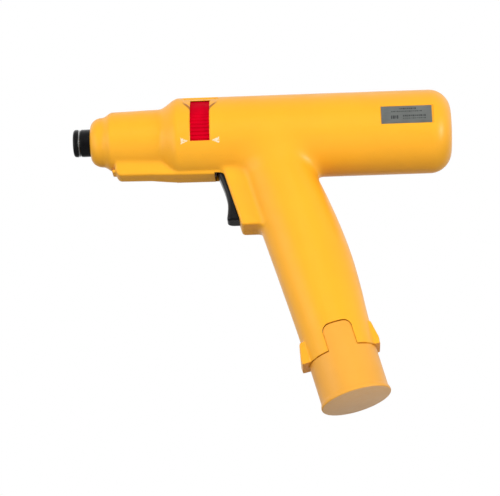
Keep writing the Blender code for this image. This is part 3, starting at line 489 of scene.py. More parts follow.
def between_sections(s, column):
    """A grip dimension at s, from a smooth curve through the sections."""
    at = np.array([row[0] for row in GRIP_SECTIONS])
    value = np.array([row[column] for row in GRIP_SECTIONS])
    slope = np.gradient(value, at)
    s = np.clip(s, at[0], at[-1])
    k = np.clip(np.searchsorted(at, s, side="right") - 1, 0, len(at) - 2)
    width = at[k + 1] - at[k]
    t = (s - at[k]) / width
    t2, t3 = t * t, t * t * t
    return (value[k] * (2 * t3 - 3 * t2 + 1) + slope[k] * width * (t3 - 2 * t2 + t)
            + value[k + 1] * (3 * t2 - 2 * t3) + slope[k + 1] * width * (t3 - t2))


def grip_distance(s, u, y):
    reach = np.where(u > 0, between_sections(s, 1), between_sections(s, 2))
    around = ellipse_distance(u, y, reach, between_sections(s, 3))
    return np.maximum(np.maximum(around, -s), s - GRIP_END - 3)


def guard_distance(x, y, z):
    sides = round_max(polygon_distance(x, z, list(GUARD_OUTLINE)), np.abs(y) - GUARD_HALF, 1.7)
    return round_max(sides, GUARD_BOTTOM - z, 1.0)


def keel_distance(f, y, z):
    bottom = np.interp(f, KEEL_F, KEEL_BOTTOM)
    low = np.interp(f, KEEL_F, KEEL_LOW_HALF)
    high = np.interp(f, KEEL_F, KEEL_HIGH_HALF)
    lean = (high - low) / (KEEL_SIDE_TOP - bottom)
    side = (np.abs(y) - low - lean * (z - bottom)) / np.sqrt(1 + lean ** 2)
    shape = round_max(side, bottom - z, 0.9)
    front = np.maximum(-line_distance(f, z, KEEL_FRONT[1], KEEL_FRONT[0]),
                       -line_distance(f, z, KEEL_FRONT[2], KEEL_FRONT[1]))
    shape = round_max(shape, front, 1.4)
    lip = round_max(round_max(np.abs(f - KEEL_LIP[0]) - KEEL_LIP_HALF[0],
                              np.abs(z - KEEL_LIP[1]) - KEEL_LIP_HALF[2], 0.7),
                    np.abs(y) - KEEL_LIP_HALF[1], 0.7)
    shape = blend_min(shape, lip, 0.4)
    return np.maximum(np.maximum(shape, KEEL_F[0] - f), z + 9.0)


def lug_distance(s, u, y):
    """Both lugs at the foot of the grip; their outer faces lean out towards the cap."""
    both = []
    for out, marks in ((u, LUG_FRONT), (-u, LUG_REAR)):
        shape = round_max(out - np.interp(s, *zip(*marks)), np.abs(y) - LUG_HALF, 1.1)
        shape = round_max(shape, marks[0][0] - s, 0.5)
        both.append(np.maximum(np.maximum(shape, s - GRIP_END - 3), 10.0 - out))
    return np.minimum(*both)


def skin_distance(x, y, z):
    """Signed distance from the housing's outside, in millimetres, negative within."""
    s = (x - GRIP_X) * math.sin(GRIP_TILT) - z * math.cos(GRIP_TILT)
    u = -(x - GRIP_X) * math.cos(GRIP_TILT) - z * math.sin(GRIP_TILT)
    shape = blend_min(barrel_distance(-x, np.hypot(y, z)), grip_distance(s, u, y), GRIP_FILLET)
    shape = blend_min(shape, guard_distance(x, y, z), GUARD_FILLET)
    shape = blend_min(shape, keel_distance(-x, y, z), KEEL_FILLET)
    return blend_min(shape, lug_distance(s, u, y), LUG_FILLET)


def shifted(where, axes, steps):
    """Grid cells, moved back by a number of steps along two axes."""
    cell = where.copy()
    cell[:, axes[0]] -= steps[0]
    cell[:, axes[1]] -= steps[1]
    return tuple(cell.T)


def surface_of(distance, name, low, high, step):
    """A distance field's surface as quads on a grid (surface nets), with each corner slid onto it."""
    axes = [np.arange(a, b + step, step) for a, b in zip(low, high)]
    field = distance(*np.meshgrid(*axes, indexing="ij"))
    inside = field < 0
    cells = tuple(n - 1 for n in field.shape)
    total = np.zeros((*cells, 3))
    count = np.zeros(cells)
    crossings = []
    for axis in range(3):
        first = [slice(None)] * 3
        second = [slice(None)] * 3
        first[axis], second[axis] = slice(0, -1), slice(1, None)
        a, b = field[tuple(first)], field[tuple(second)]
        where = np.argwhere(inside[tuple(first)] != inside[tuple(second)])
        index = tuple(where.T)
        t = a[index] / (a[index] - b[index])
        at = where.astype(float)
        at[:, axis] += t
        others = [k for k in range(3) if k != axis]
        for steps in ((0, 0), (0, 1), (1, 0), (1, 1)):
            cell = shifted(where, others, steps)
            np.add.at(total, cell, at)
            np.add.at(count, cell, 1)
        crossings.append((axis, others, where, inside[index]))
    number = np.full(cells, -1)
    used = np.argwhere(count > 0)
    number[tuple(used.T)] = np.arange(len(used))
    points = total[tuple(used.T)] / count[tuple(used.T)][:, None] * step + np.array(low)
    faces = []
    for axis, others, where, from_inside in crossings:
        corners = [shifted(where, others, steps) for steps in ((0, 0), (1, 0), (1, 1), (0, 1))]
        quads = np.stack([number[cell] for cell in corners], axis=1)
        flip = from_inside if axis == 1 else ~from_inside
        quads[flip] = quads[flip][:, ::-1]
        faces.append(quads)
    points = onto_surface(distance, points)
    return mesh_object(name, (points * MM).tolist(), np.concatenate(faces).tolist())


def onto_surface(distance, points, rounds=4, probe=0.01):
    """Newton steps along the field's slope."""
    for _ in range(rounds):
        here = distance(*points.T)
        slope = np.zeros_like(points)
        for axis in range(3):
            beside = points.copy()
            beside[:, axis] += probe
            slope[:, axis] = (distance(*beside.T) - here) / probe
        size = np.maximum((slope ** 2).sum(axis=1), 0.2)
        move = -slope * (here / size)[:, None]
        points = points + np.clip(move, -0.4, 0.4)
    return points


# ---- housing

def inner_space():
    """Solids that lie just under the skin and take in every hollow of the CAD halves."""
    profile = [(SPACE_INSET, 0), (SPACE_INSET, BARREL_R - REAR_CORNER)]
    profile += [(REAR_CORNER - h, BARREL_R - REAR_CORNER + r)
                for h, r in arc(0, 0, REAR_CORNER - SPACE_INSET, 8, 90, 12)]
    for f in np.linspace(*SHOULDER, 12):
        t = (f - SHOULDER[0]) / (SHOULDER[1] - SHOULDER[0])
        profile.append((f, BARREL_R - SPACE_INSET + (NOSE_R - BARREL_R) * float(smoothstep(t))))
    profile += [(STEP[0], NOSE_TIP_R - SPACE_INSET), (STEP[1], COLLAR_R - SPACE_INSET), *SPACE_NOSE]
    space = turned("inner_space", profile, BARREL)
    foot = GRIP_END + 4
    bay = [(BAY_TOP[0], 0), BAY_TOP, (BAY_CELLS[0], BAY_TOP[1]), BAY_CELLS, (foot, BAY_CELLS[1]),
           (foot, 0)]
    return cut(space, turned("bay_space", bay, GRIP),
               extruded("guard_space", GUARD_SPACE, -GUARD_SPACE_HALF, GUARD_SPACE_HALF, SIDE),
               operation="UNION")


def rounded_tongue(half, top, bottom, corner):
    right = arc(half - corner, top + corner, corner, 0, -90, 13)
    left = arc(corner - half, top + corner, corner, -90, -180, 13)
    return [(half, bottom)] + right + left + [(-half, bottom)]


def ball(name, radius, matrix, steps):
    half = steps // 2
    profile = [(-radius * math.cos(a), radius * math.sin(a) if 0 < k < half else 0)
               for k, a in enumerate(np.linspace(0, math.pi, half + 1))]
    return turned(name, profile, matrix, steps)


def scoop(side):
    """The shallow hollow that lets a thumb reach the ring: a solid whose inner face is its floor."""
    reach, angles = SCOOP_SPAN
    w, a = np.meshgrid(np.linspace(-reach, reach, 85), np.linspace(*angles, 84), indexing="ij")
    per_degree = math.radians(BARREL_R)
    within = -polygon_distance(w, a * per_degree, [(x, y * per_degree) for x, y in SCOOP])
    floor = BARREL_R + SCOOP_LIFT - (SCOOP_DEPTH + SCOOP_LIFT) * smoothstep(within / SCOOP_SLOPE)
    layers = []
    for radius in (floor, np.full_like(floor, BARREL_R + 3.0)):
        up, out = radius * np.sin(np.radians(a)), side * radius * np.cos(np.radians(a))
        layers.append(np.stack([up, out, w + sum(WINDOW) / 2], axis=-1))
    rings = np.concatenate([layers[0], layers[1][:, ::-1]], axis=1)
    return loft("scoop", [[BARREL @ Vector(point) for point in ring] for ring in rings])


def window_chamfer(side):
    low, high = WINDOW
    inner, outer = BARREL_R - WINDOW_CHAMFER, BARREL_R + 1.0
    wide = outer - inner
    piece = turned("chamfer", [(low, 18.0), (low, inner), (low - wide, outer), (high + wide, outer),
                               (high, inner), (high, 18.0)], BARREL, 240)
    cut(piece, extruded("part", sector(10.0, 25.0, *WINDOW_ANGLES, side, 40), low - 5, high + 5, BARREL),
        operation="INTERSECT")
    return piece


def openings(side):
    """Everything cut into one half's skin from outside."""
    beside, above, corner = TONGUE_GAPS
    tongue = rounded_tongue(TONGUE_HALF + beside, TONGUE_TOP - above, GRIP_END + 8, TONGUE_CORNER + corner)
    tools = [
        extruded("window", sector(15.0, 25.0, *WINDOW_ANGLES, side, 40), *WINDOW, BARREL),
        extruded("slot", SLOT_OUTLINE, -SLOT_HALF, SLOT_HALF, SIDE),
        rod("nose_bore", 160, 190, NOSE_BORE_R, BARREL),
        rod("grip_foot", GRIP_END, GRIP_END + 20, 40, GRIP, 24),
        extruded("tongue_way", tongue, -30, 30, GRIP @ ACROSS),
        scoop(side),
        window_chamfer(side),
    ]
    if side < 0:
        recess = sector(LABEL_R - LABEL_SUNK, 24.0, 0.7 - LABEL_RECESS_ANGLE, LABEL_RECESS_ANGLE)
        tools.append(extruded("label_recess", recess, *LABEL_RECESS, BARREL))
    for x, z, seat in SCREWS:
        hole = [(-5.5, 0), (-5.5, SCREW_R + 0.1), (seat - 0.3, SCREW_R + 0.1),
                (seat - 0.3, SCREW_RECESS_R), (24, SCREW_RECESS_R), (24, 0)]
        tools.append(turned("screw_hole", hole, y_axis_at(x, z), 32))
    return tools


def make_housing(material):
    skin = surface_of(skin_distance, "skin", *SKIN_BOX, SKIN_STEP)
    for side, name in ((-1, "left_housing"), (1, "right_housing")):
        half = linked(name + "_shell", skin.data.copy())
        hollow = cut(inner_space(), solid_copy(name))
        low, high = sorted((SEAM_Y + side * SEAM_HALF, side * 40.0))
        own_side = extruded("own_side", [(-200, low), (20, low), (20, high), (-200, high)], -160, 40, SCALE)
        cut(half, hollow, *openings(side))
        cut(half, own_side, operation="INTERSECT")
        finished(half, "housing", material, "yellow_shell", name, angle=35)
    bpy.data.objects.remove(skin, do_unlink=True)


# ---- other pieces

def make_index_ring(material):
    """The ribbed ring; one stretch of its rim is left smooth for the thumb."""
    low, high = RING
    rings = []
    for f, shrink in ((low, RING_EDGE), (low + RING_EDGE, 0), (high - RING_EDGE, 0), (high, RING_EDGE)):
        ring = []
        for k in range(RIBS * POINTS_PER_RIB):
            angle = 360.0 * k / (RIBS * POINTS_PER_RIB)
            from_groove = abs((k % POINTS_PER_RIB) / POINTS_PER_RIB - 0.5) * 2
            groove = RIB_DEPTH * max(1 - from_groove / 0.5, 0) ** 0.8
            if SMOOTH_BAND[0] < angle < SMOOTH_BAND[1]:
                groove = SMOOTH_BAND_DEPTH
            r = RING_R - 0.03 - max(groove, shrink)
            a = math.radians(angle)
            ring.append(BARREL @ Vector((r * math.sin(a), -r * math.cos(a), f)))
        rings.append(ring)
    ring = loft("index_ring_red", rings)
    cut(ring, tube("back", low - 1, low + RING_HOLLOW_DEPTH, *RING_HOLLOW_R, BARREL),
        tube("front", high - RING_HOLLOW_DEPTH, high + 1, *RING_HOLLOW_R, BARREL),
        rod("bore", 100, 150, SLEEVE_R + 0.1, BARREL))
    finished(ring, "sleeve", material, "red_ring", "index_ring", angle=40)


def make_pointers(material):
    """Small triangles printed on both sides, pointing at the ring's window."""
    low, high = (math.radians(a) for a in POINTER_ANGLES)
    heights = [BARREL_R * math.sin(a) for a in (low, (low + high) / 2, high)]
    print_r = (BARREL_R - 0.1, BARREL_R + 0.015)
    for side, name in ((-1, "left"), (1, "right")):
        for k, (base, tip) in enumerate(POINTERS):
            plate = extruded(f"pointer_{name}_{k + 1}", sector(*print_r, -34, -20, side, 15),
                             *sorted((base, tip)), BARREL)
            outline = [(-base, heights[0]), (-tip, heights[1]), (-base, heights[2])]
            prism = extruded("prism", outline, *sorted((-side * 5, -side * 30)), SIDE)
            cut(plate, prism, operation="INTERSECT")
            finished(plate, "housing", material, "foil")


def make_label(metal, ink):
    """A sunk foil plate with rows of plain bars instead of print."""
    plate = extruded("label_foil", sector(LABEL_R - 0.3, LABEL_R, -LABEL_ANGLE, LABEL_ANGLE),
                     *LABEL, BARREL)
    finished(plate, "housing", metal, "foil", "label_plate", angle=20)
    for k, (near, far, low, high) in enumerate(LABEL_ROWS):
        at, turn = near, 0
        while at < far - MARK_GAP:
            width = min(MARK_WIDTHS[turn % len(MARK_WIDTHS)], far - at)
            lift = MARK_LIFTS[turn % len(MARK_LIFTS)]
            outline = sector(LABEL_R - 0.05, LABEL_R + 0.012, low + lift, high - lift / 2, count=5)
            block = extruded(f"label_mark_{k + 1}_{turn + 1}", outline, at, at + width, BARREL)
            finished(block, "housing", ink, "foil")
            at += width + MARK_GAP
            turn += 1


def trigger_distance(x, y, z):
    sides = round_max(polygon_distance(x, z, TRIGGER_OUTLINE), np.abs(y) - TRIGGER_HALF + 0.02, 2.3)
    return round_max(sides, TRIGGER_BOTTOM - z, 0.9)


def smooth_curve(marks, per_span=6):
    """Points on a Catmull-Rom curve through the marks."""
    marks = [np.array(m, float) for m in marks]
    ends = [marks[0] * 2 - marks[1]] + marks + [marks[-1] * 2 - marks[-2]]
    route = []
    for a, b, c, d in zip(ends, ends[1:], ends[2:], ends[3:]):
        for i in range(per_span):
            t = i / per_span
            route.append(tuple(0.5 * (2 * b + (c - a) * t + (2 * a - 5 * b + 4 * c - d) * t * t
                                      + (3 * b - a - 3 * c + d) * t ** 3)))
    return route + [tuple(marks[-1])]


# The lever's side view: a round hub, a front hollowed for the finger, and a rear face.
TRIGGER_OUTLINE = (arc(*PIVOT, TRIGGER_HUB_R, -10, 160, 24) + smooth_curve(TRIGGER_FRONT)
                   + smooth_curve(TRIGGER_REAR))


def make_trigger(material):
    piece = surface_of(trigger_distance, "trigger_lever", *TRIGGER_BOX, TRIGGER_STEP)
    cut(piece, rod("bore", -9, 9, TRIGGER_BORE_R, y_axis_at(*PIVOT), 48))
    finished(piece, "trigger", material, "black_plastic", "trigger", angle=50)


def make_nose(black, steel):
    flange = CLIP[1] + 0.15
    r = COLLAR_OUTER_R
    profile = [(SLEEVE_BACK, SLEEVE_BORE_R), (SLEEVE_BACK, SLEEVE_R - 0.3), (SLEEVE_BACK + 0.3, SLEEVE_R),
               (CLIP[0] - 0.1, SLEEVE_R), (CLIP[0] - 0.1, CLIP_GROOVE_R),
               (CLIP[1] + 0.1, CLIP_GROOVE_R), (CLIP[1] + 0.1, SLEEVE_R), (flange, SLEEVE_R)]
    profile += arc(flange + 0.5, r - 0.5, 0.5, 180, 90, 5)
    profile += arc(TIP - 1.3, r - 1.3, 1.3, 90, 12, 8)
    profile += [(TIP, 4.6), (TIP - 0.9, SLEEVE_BORE_R)]
    holder = turned("sleeve_holder_tube", profile, BARREL)
    upwards = BARREL @ Matrix.Translation((0, 0, BALL_F)) @ Matrix.Rotation(math.radians(90), 4, "Y")
    cut(holder, rod("way", 2, 8, BALL_WAY_R, upwards, 32))
    finished(holder, "sleeve", black, "black_steel", "sleeve_holder")
    inner = SLEEVE_R + 0.15
    collar = [(COLLAR[0], inner)] + arc(COLLAR[0] + 0.4, r - 0.4, 0.4, 180, 90, 4)
    collar += arc(COLLAR[1] - 0.55, r - 0.55, 0.55, 90, 0, 6) + [(COLLAR[1], inner)]
    finished(turned("release_collar_black", collar, BARREL), "release_collar", black, "black_steel",
             "release_collar")
    make_clip(steel)
    locked = ball("locking_ball_steel", BALL_R, BARREL @ Matrix.Translation((BALL_OUT, 0, BALL_F)), 32)
    finished(locked, "sleeve", steel, "steel", "locking_ball", angle=60)


def make_clip(material):
    """The snap ring in the nose groove, open at its back."""
    low, high = CLIP_R
    thick = CLIP[1] - CLIP[0] - 0.04
    middle, centre = (low + high) / 2, sum(CLIP) / 2
    steps, around = 90, 16
    rings = []
    for k in range(steps + 1):
        a = math.radians(CLIP_OPENING / 2 + (360 - CLIP_OPENING) * k / steps)
        ring = []
        for i in range(around):
            b = math.tau * i / around
            # its section is a square with soft corners
            out, along = [math.copysign(abs(v) ** 0.4, v) for v in (math.cos(b), math.sin(b))]
            r = middle + (high - low) / 2 * out
            ring.append(BARREL @ Vector((r * math.sin(a), r * math.cos(a), centre + thick / 2 * along)))
        rings.append(ring)
    finished(loft("snap_ring", rings), "sleeve", material, "steel", "collar_retaining_ring", angle=50)


def make_cap(material):
    lip = CAP_LIP_R
    profile = [(SEAM_S, CAP_BORE_R), (SEAM_S, CAP_R - 0.15), (SEAM_S + 0.15, CAP_R), (132.0, CAP_R - 0.02)]
    profile += [(141.6, CAP_R - 0.05), (142.1, CAP_R + 0.08), (142.6, CAP_R + 0.28), (143.1, lip - 0.14),
                (143.6, lip - 0.02), (144.0, lip), (144.35, lip - 0.1), (144.58, lip - 0.28),
                (CAP_BOTTOM, lip - 0.6), (CAP_BOTTOM, 0), (CAP_FLOOR, 0), (CAP_FLOOR, CAP_BORE_R)]
    cap = turned("battery_cap_yellow", profile, GRIP, 128)
    strip = tube("strip", TONGUE_TOP - 3, SEAM_S + 2, STRIP_BORE_R, CAP_R, GRIP, 128)
    tongue = extruded("tongue", rounded_tongue(TONGUE_HALF, TONGUE_TOP, SEAM_S + 1, TONGUE_CORNER),
                      -30, 30, GRIP @ ACROSS)
    cut(strip, tongue, operation="INTERSECT")
    cut(cap, strip, operation="UNION")
    finished(cap, "battery_cap", material, "yellow_shell", "battery_cap", angle=30)


def make_screws(material):
    """Pan-head screws with a cross recess and a few turns of thread."""
    shank = SCREW_R - 0.1
    for k, (x, z, seat) in enumerate(SCREWS):
        profile = [(SCREW_TIP, 0), (SCREW_TIP, 0.5), (SCREW_TIP + 0.6, shank - 0.25)]
        h = SCREW_TIP + 0.8
        while h < seat - 0.8:
            profile += [(h, shank - 0.3), (h + 0.22, shank), (h + 0.42, shank - 0.3)]
            h += THREAD_PITCH
        profile += [(seat, shank - 0.2), (seat, SCREW_HEAD_R - 0.1), (seat + 0.6, SCREW_HEAD_R)]
        profile += [(seat + 0.6 + 0.9 * math.sin(a), SCREW_HEAD_R * (0.35 + 0.65 * math.cos(a)))
                    for a in np.radians((25, 50, 70, 90))]
        profile.append((seat + 1.55, 0))
        place = y_axis_at(x, z)
        screw = turned(f"screw_{k + 1}", profile, place, 40)
        tools = []
        for turn in (20 * k, 20 * k + 90):
            slot = place @ Matrix.Rotation(math.radians(turn), 4, "Z")
            outline = [(-1.15, -0.24), (1.15, -0.24), (1.15, 0.24), (-1.15, 0.24)]
            tools.append(extruded("recess", outline, seat + 0.75, seat + 3, slot))
        cut(screw, *tools)
        finished(screw, "housing", material, "zinc", f"housing_screw_{k + 1}")


def make_cells(material):
    for name, top in CELL_TOPS.items():
        end = top + CELL_LENGTH
        profile = [(top, 0), (top, 2.7)] + arc(top + 0.5, 2.7, 0.5, 180, 90, 4)
        profile += [(top + 1.7, 3.3), (top + 1.95, 3.6), (top + 1.95, 10.4), (top + 2.15, 11.3)]
        profile += arc(top + 2.9, CELL_R - 0.75, 0.75, 180, 90, 6)
        profile += [(top + 4.6, CELL_R), (top + 4.8, CELL_R - 0.12), (top + 5.1, CELL_R - 0.12),
                    (top + 5.3, CELL_R), (end - 1.4, CELL_R), (end - 1.2, CELL_R - 0.12)]
        profile += arc(end - 0.6, CELL_R - 0.7, 0.55, 90, 0, 5)
        profile += [(end - 0.05, 11.2), (end - 0.3, 10.8), (end - 0.3, 9.3), (end, 8.9), (end, 0)]
        cell = turned(name.replace("battery", "cell"), profile, GRIP, 96)
        finished(cell, name, material, "cell_jacket", name, angle=40)


def make_spring(name, winding, radius, matrix, body, material, replaced):
    """A wire wound into a coil, as a mesh tube with closed ends."""
    route = coil(*winding)
    curve = bpy.data.curves.new(name, "CURVE")
    curve.dimensions = "3D"
    curve.bevel_depth = radius * MM
    curve.bevel_resolution = 3
    curve.use_fill_caps = True
    spline = curve.splines.new("POLY")
    spline.points.add(len(route) - 1)
    for point, at in zip(spline.points, route):
        point.co = (*(matrix @ Vector(at)), 1)
    wound = linked(name, curve)
    mesh = evaluated_mesh(wound)
    bpy.data.objects.remove(wound, do_unlink=True)
    finished(linked(name, mesh), body, material, "steel", replaced, angle=60)


def coil(start, end, radius_start, radius_end, turns, per_turn=28):
    """Points of a helix along Z that rises more slowly at its ends."""
    count = int(turns * per_turn)
    route = []
    for i in range(count + 1):
        t = i / count
        rise = float(smoothstep(t)) * 0.35 + t * 0.65
        radius = radius_start + (radius_end - radius_start) * t
        a = math.tau * turns * t
        route.append((radius * math.cos(a), radius * math.sin(a), start + (end - start) * rise))
    return route


def make_springs(material):
    rearwards = SCALE @ Matrix.Translation(TRIGGER_SPRING_AT) @ Matrix.Rotation(math.radians(90), 4, "Y")
    for name, spring, matrix, body, replaced in (
            ("trigger_spring", TRIGGER_SPRING, rearwards, "housing", "trigger_return_spring"),
            ("collar_spring_wire", COLLAR_SPRING, BARREL, "sleeve", "collar_spring"),
            ("cap_spring", CAP_SPRING, GRIP, "battery_cap", "cap_contact_spring")):
        make_spring(name, *spring, matrix, body, material, replaced)


# ---- finishes

def node(tree, kind, inputs=None, **settings):
    """A shader node; inputs are plain values or (node, output) pairs."""
    made = tree.nodes.new("ShaderNode" + kind)
    for key, value in settings.items():
        setattr(made, key, value)
    for key, value in (inputs or {}).items():
        if isinstance(value, tuple) and isinstance(value[0], bpy.types.Node):
            tree.links.new(value[0].outputs[value[1]], made.inputs[key])
        else:
            made.inputs[key].default_value = value
    return made


def maths(tree, operation, *values):
    return node(tree, "Math", dict(enumerate(values)), operation=operation), "Value"


def dot(tree, *vectors):
    return node(tree, "VectorMath", dict(enumerate(vectors)), operation="DOT_PRODUCT"), "Value"


def noise(tree, place, size, detail, roughness=0.5):
    """A 0-1 pattern with features about size millimetres across."""
    return node(tree, "TexNoise", {"Vector": place, "Scale": 1 / (size * MM), "Detail": detail,
                                   "Roughness": roughness}), "Fac"


def ramp(tree, source, *stops, interpolation="LINEAR"):
    """Maps a 0-1 pattern onto colours; each stop is a position and a colour."""
    made = node(tree, "ValToRGB", {"Fac": source})
    made.color_ramp.interpolation = interpolation
    ends = made.color_ramp.elements
    while len(ends) < len(stops):
        ends.new(0.5)
    for stop, (position, colour) in zip(ends, stops):
        stop.position = position
        stop.color = (*colour, 1)
    return made, "Color"


def graded(tree, source, start, end, low=0.0, high=1.0):
    """Maps the range from start to end onto low to high."""
    return node(tree, "MapRange", {"Value": source, "From Min": start, "From Max": end,
                                   "To Min": low, "To Max": high}), "Result"


def mixed(tree, share, under, over, blend="MIX"):
    return node(tree, "Mix", {0: share, 6: under, 7: over}, data_type="RGBA", blend_type=blend), 2


def finish(name, colour, roughness, metallic=0.0, patch=18.0, variation=0.05, grain=0.35, depth=4.0,
           stretch=(1, 1, 1), worn=None, wear=0.3, rim=0.25, specular=0.5, speck=None, speck_size=0.6,
           speck_limit=0.7):
    """A procedural finish. patch, grain, rim and speck_size are in millimetres, depth in microns.

    patch: broad change of shade; grain: fine relief, drawn out by stretch; worn: the colour that edges
    rub to; speck: the colour of small scattered marks.
    """
    material = bpy.data.materials.new(name)
    material.use_nodes = True
    tree = material.node_tree
    shader = tree.nodes["Principled BSDF"]
    shader.inputs["Metallic"].default_value = metallic
    shader.inputs["Specular IOR Level"].default_value = specular
    place = (node(tree, "TexCoord"), "Object")
    drawn = (node(tree, "Mapping", {"Vector": place, "Scale": stretch}), "Vector")
    broad = noise(tree, place, patch, 4.0, 0.55)
    fine = noise(tree, drawn, grain, 3.0, 0.6)
    darker, lighter = [tuple(min(c * factor, 1.0) for c in colour)
                       for factor in (1 - variation, 1 + variation)]
    tone = ramp(tree, broad, (0.35, darker), (0.68, lighter))
    if max(stretch) > 1 or variation > 0.08:
        streak = ramp(tree, fine, (0.3, (0.86, 0.86, 0.86)), (0.7, (1, 1, 1)))
        tone = mixed(tree, 0.8, tone, streak, "MULTIPLY")
    if speck:
        mask = ramp(tree, noise(tree, place, speck_size, 1.0), (speck_limit, (0, 0, 0)),
                    (speck_limit + 0.05, (1, 1, 1)))
        tone = mixed(tree, mask, tone, (*speck, 1))
    rounded = (node(tree, "Bevel", {"Radius": rim * MM}, samples=4), "Normal")
    if worn:
        facing = dot(tree, rounded, (node(tree, "NewGeometry"), "Normal"))
        edge = graded(tree, facing, 0.995, 0.8, 0.0, wear)
        patchy = maths(tree, "MULTIPLY", edge, graded(tree, broad, 0.3, 0.7, 0.35, 1.0))
        tone = mixed(tree, patchy, tone, (*worn, 1))
    smudge = noise(tree, place, patch * 0.45, 6.0, 0.65)
    rough = graded(tree, smudge, 0.3, 0.7, roughness - ROUGHNESS_SPREAD, roughness + ROUGHNESS_SPREAD)
    relief = node(tree, "Bump", {"Height": fine, "Normal": rounded, "Strength": 1.0,
                                 "Distance": depth * 1e-6})
    for (source, output), socket in ((tone, "Base Color"), (rough, "Roughness"),
                                     ((relief, "Normal"), "Normal")):
        tree.links.new(source.outputs[output], shader.inputs[socket])
    return material


def make_finishes():
    """Every finish, by the name of the slot it serves; the last four serve pieces of their own."""
    return {
        "yellow_shell": shell_finish(),
        "red_ring": finish("red_acetal", (0.6, 0.0, 0.014), 0.5, patch=6, variation=0.06, grain=0.3,
                           depth=3, worn=(0.7, 0.01, 0.03), rim=0.12, specular=0.03),
        "red_button": finish("red_button", (0.5, 0.01, 0.01), 0.4, patch=3, grain=0.2),
        "black_plastic": finish("black_nylon", (0.009, 0.009, 0.01), 0.29, patch=9, variation=0.12,
                                worn=(0.09, 0.09, 0.095), wear=0.5, rim=0.3, specular=0.33),
        "white_plastic": finish("natural_acetal", (0.75, 0.73, 0.68), 0.45, patch=8, variation=0.03,
                                grain=0.25, depth=3, worn=(0.8, 0.79, 0.76), rim=0.15),
        "foil": finish("label_foil", (0.3, 0.315, 0.3), 0.42, metallic=0.75, patch=7, variation=0.1,
                       depth=2.5, stretch=(0.04, 1, 1), rim=0.05, worn=(0.5, 0.5, 0.5)),
        "black_steel": finish("black_oxide", (0.011, 0.011, 0.012), 0.24, metallic=0.3, patch=5,
                              variation=0.2, grain=0.25, depth=2.0, stretch=(3, 1, 1),
                              worn=(0.22, 0.21, 0.2), wear=0.55, rim=0.2, specular=0.3),
        "steel": finish("ground_steel", (0.62, 0.62, 0.61), 0.28, metallic=1.0, patch=5, grain=0.2,
                        depth=1.2, stretch=(5, 1, 1), rim=0.1, worn=(0.8, 0.8, 0.8)),
        "zinc": finish("zinc_plate", (0.56, 0.57, 0.58), 0.36, metallic=1.0, patch=3.5, variation=0.1,
                       grain=0.3, depth=2, rim=0.1, worn=(0.75, 0.75, 0.76), wear=0.4),
        "brass": finish("brass", (0.72, 0.51, 0.2), 0.32, metallic=1.0, patch=4, variation=0.1,
                        grain=0.25, depth=1.5, stretch=(1, 4, 1), rim=0.08, worn=(0.85, 0.68, 0.35)),
        "bronze": finish("sintered_bronze", (0.42, 0.27, 0.13), 0.5, metallic=1.0, patch=3,
                         variation=0.1, grain=0.18, depth=6, rim=0.1, speck=(0.16, 0.1, 0.05),
                         speck_size=0.22, speck_limit=0.62),
        "copper": finish("enamelled_copper", (0.66, 0.27, 0.13), 0.3, metallic=0.9, patch=4,
                         variation=0.1, grain=0.3, depth=25, stretch=(4, 1, 1), rim=0.05),
        "ferrite": finish("ferrite", (0.05, 0.05, 0.055), 0.6, patch=4, variation=0.15, grain=0.2,
                          depth=9, worn=(0.13, 0.13, 0.14), wear=0.4),
        "carbon": finish("carbon", (0.035, 0.035, 0.037), 0.5, patch=2, variation=0.15, grain=0.12,
                         depth=6, stretch=(1, 1, 3), speck=(0.1, 0.1, 0.1), speck_size=0.15),
        "red_wire": finish("red_insulation", (0.5, 0.012, 0.012), 0.45, patch=3, grain=0.2, depth=3),
        "black_wire": finish("black_insulation", (0.02, 0.02, 0.02), 0.45, patch=3, grain=0.2, depth=3),
        "cell_jacket": cell_finish(),
        "cap": cap_finish(),
        "print": finish("white_print", (0.86, 0.68, 0.46), 0.5, speck=(0.93, 0.46, 0.08), speck_size=0.7,
                        speck_limit=0.53, patch=2, variation=0.04, grain=0.3, depth=3, rim=0.02),
        "ink": finish("label_ink", (0.05, 0.055, 0.055), 0.5, patch=2, variation=0.1, grain=0.2,
                      depth=2, rim=0.02),
    }


def tint_over(material, mask, colour):
    """Lay a colour over the finish where the mask is one."""
    tree = material.node_tree
    target = tree.nodes["Principled BSDF"].inputs["Base Color"]
    over = node(tree, "Mix", {0: mask, 7: colour}, data_type="RGBA")
    tree.links.new(target.links[0].from_socket, over.inputs[6])
    tree.links.new(over.outputs[2], target)


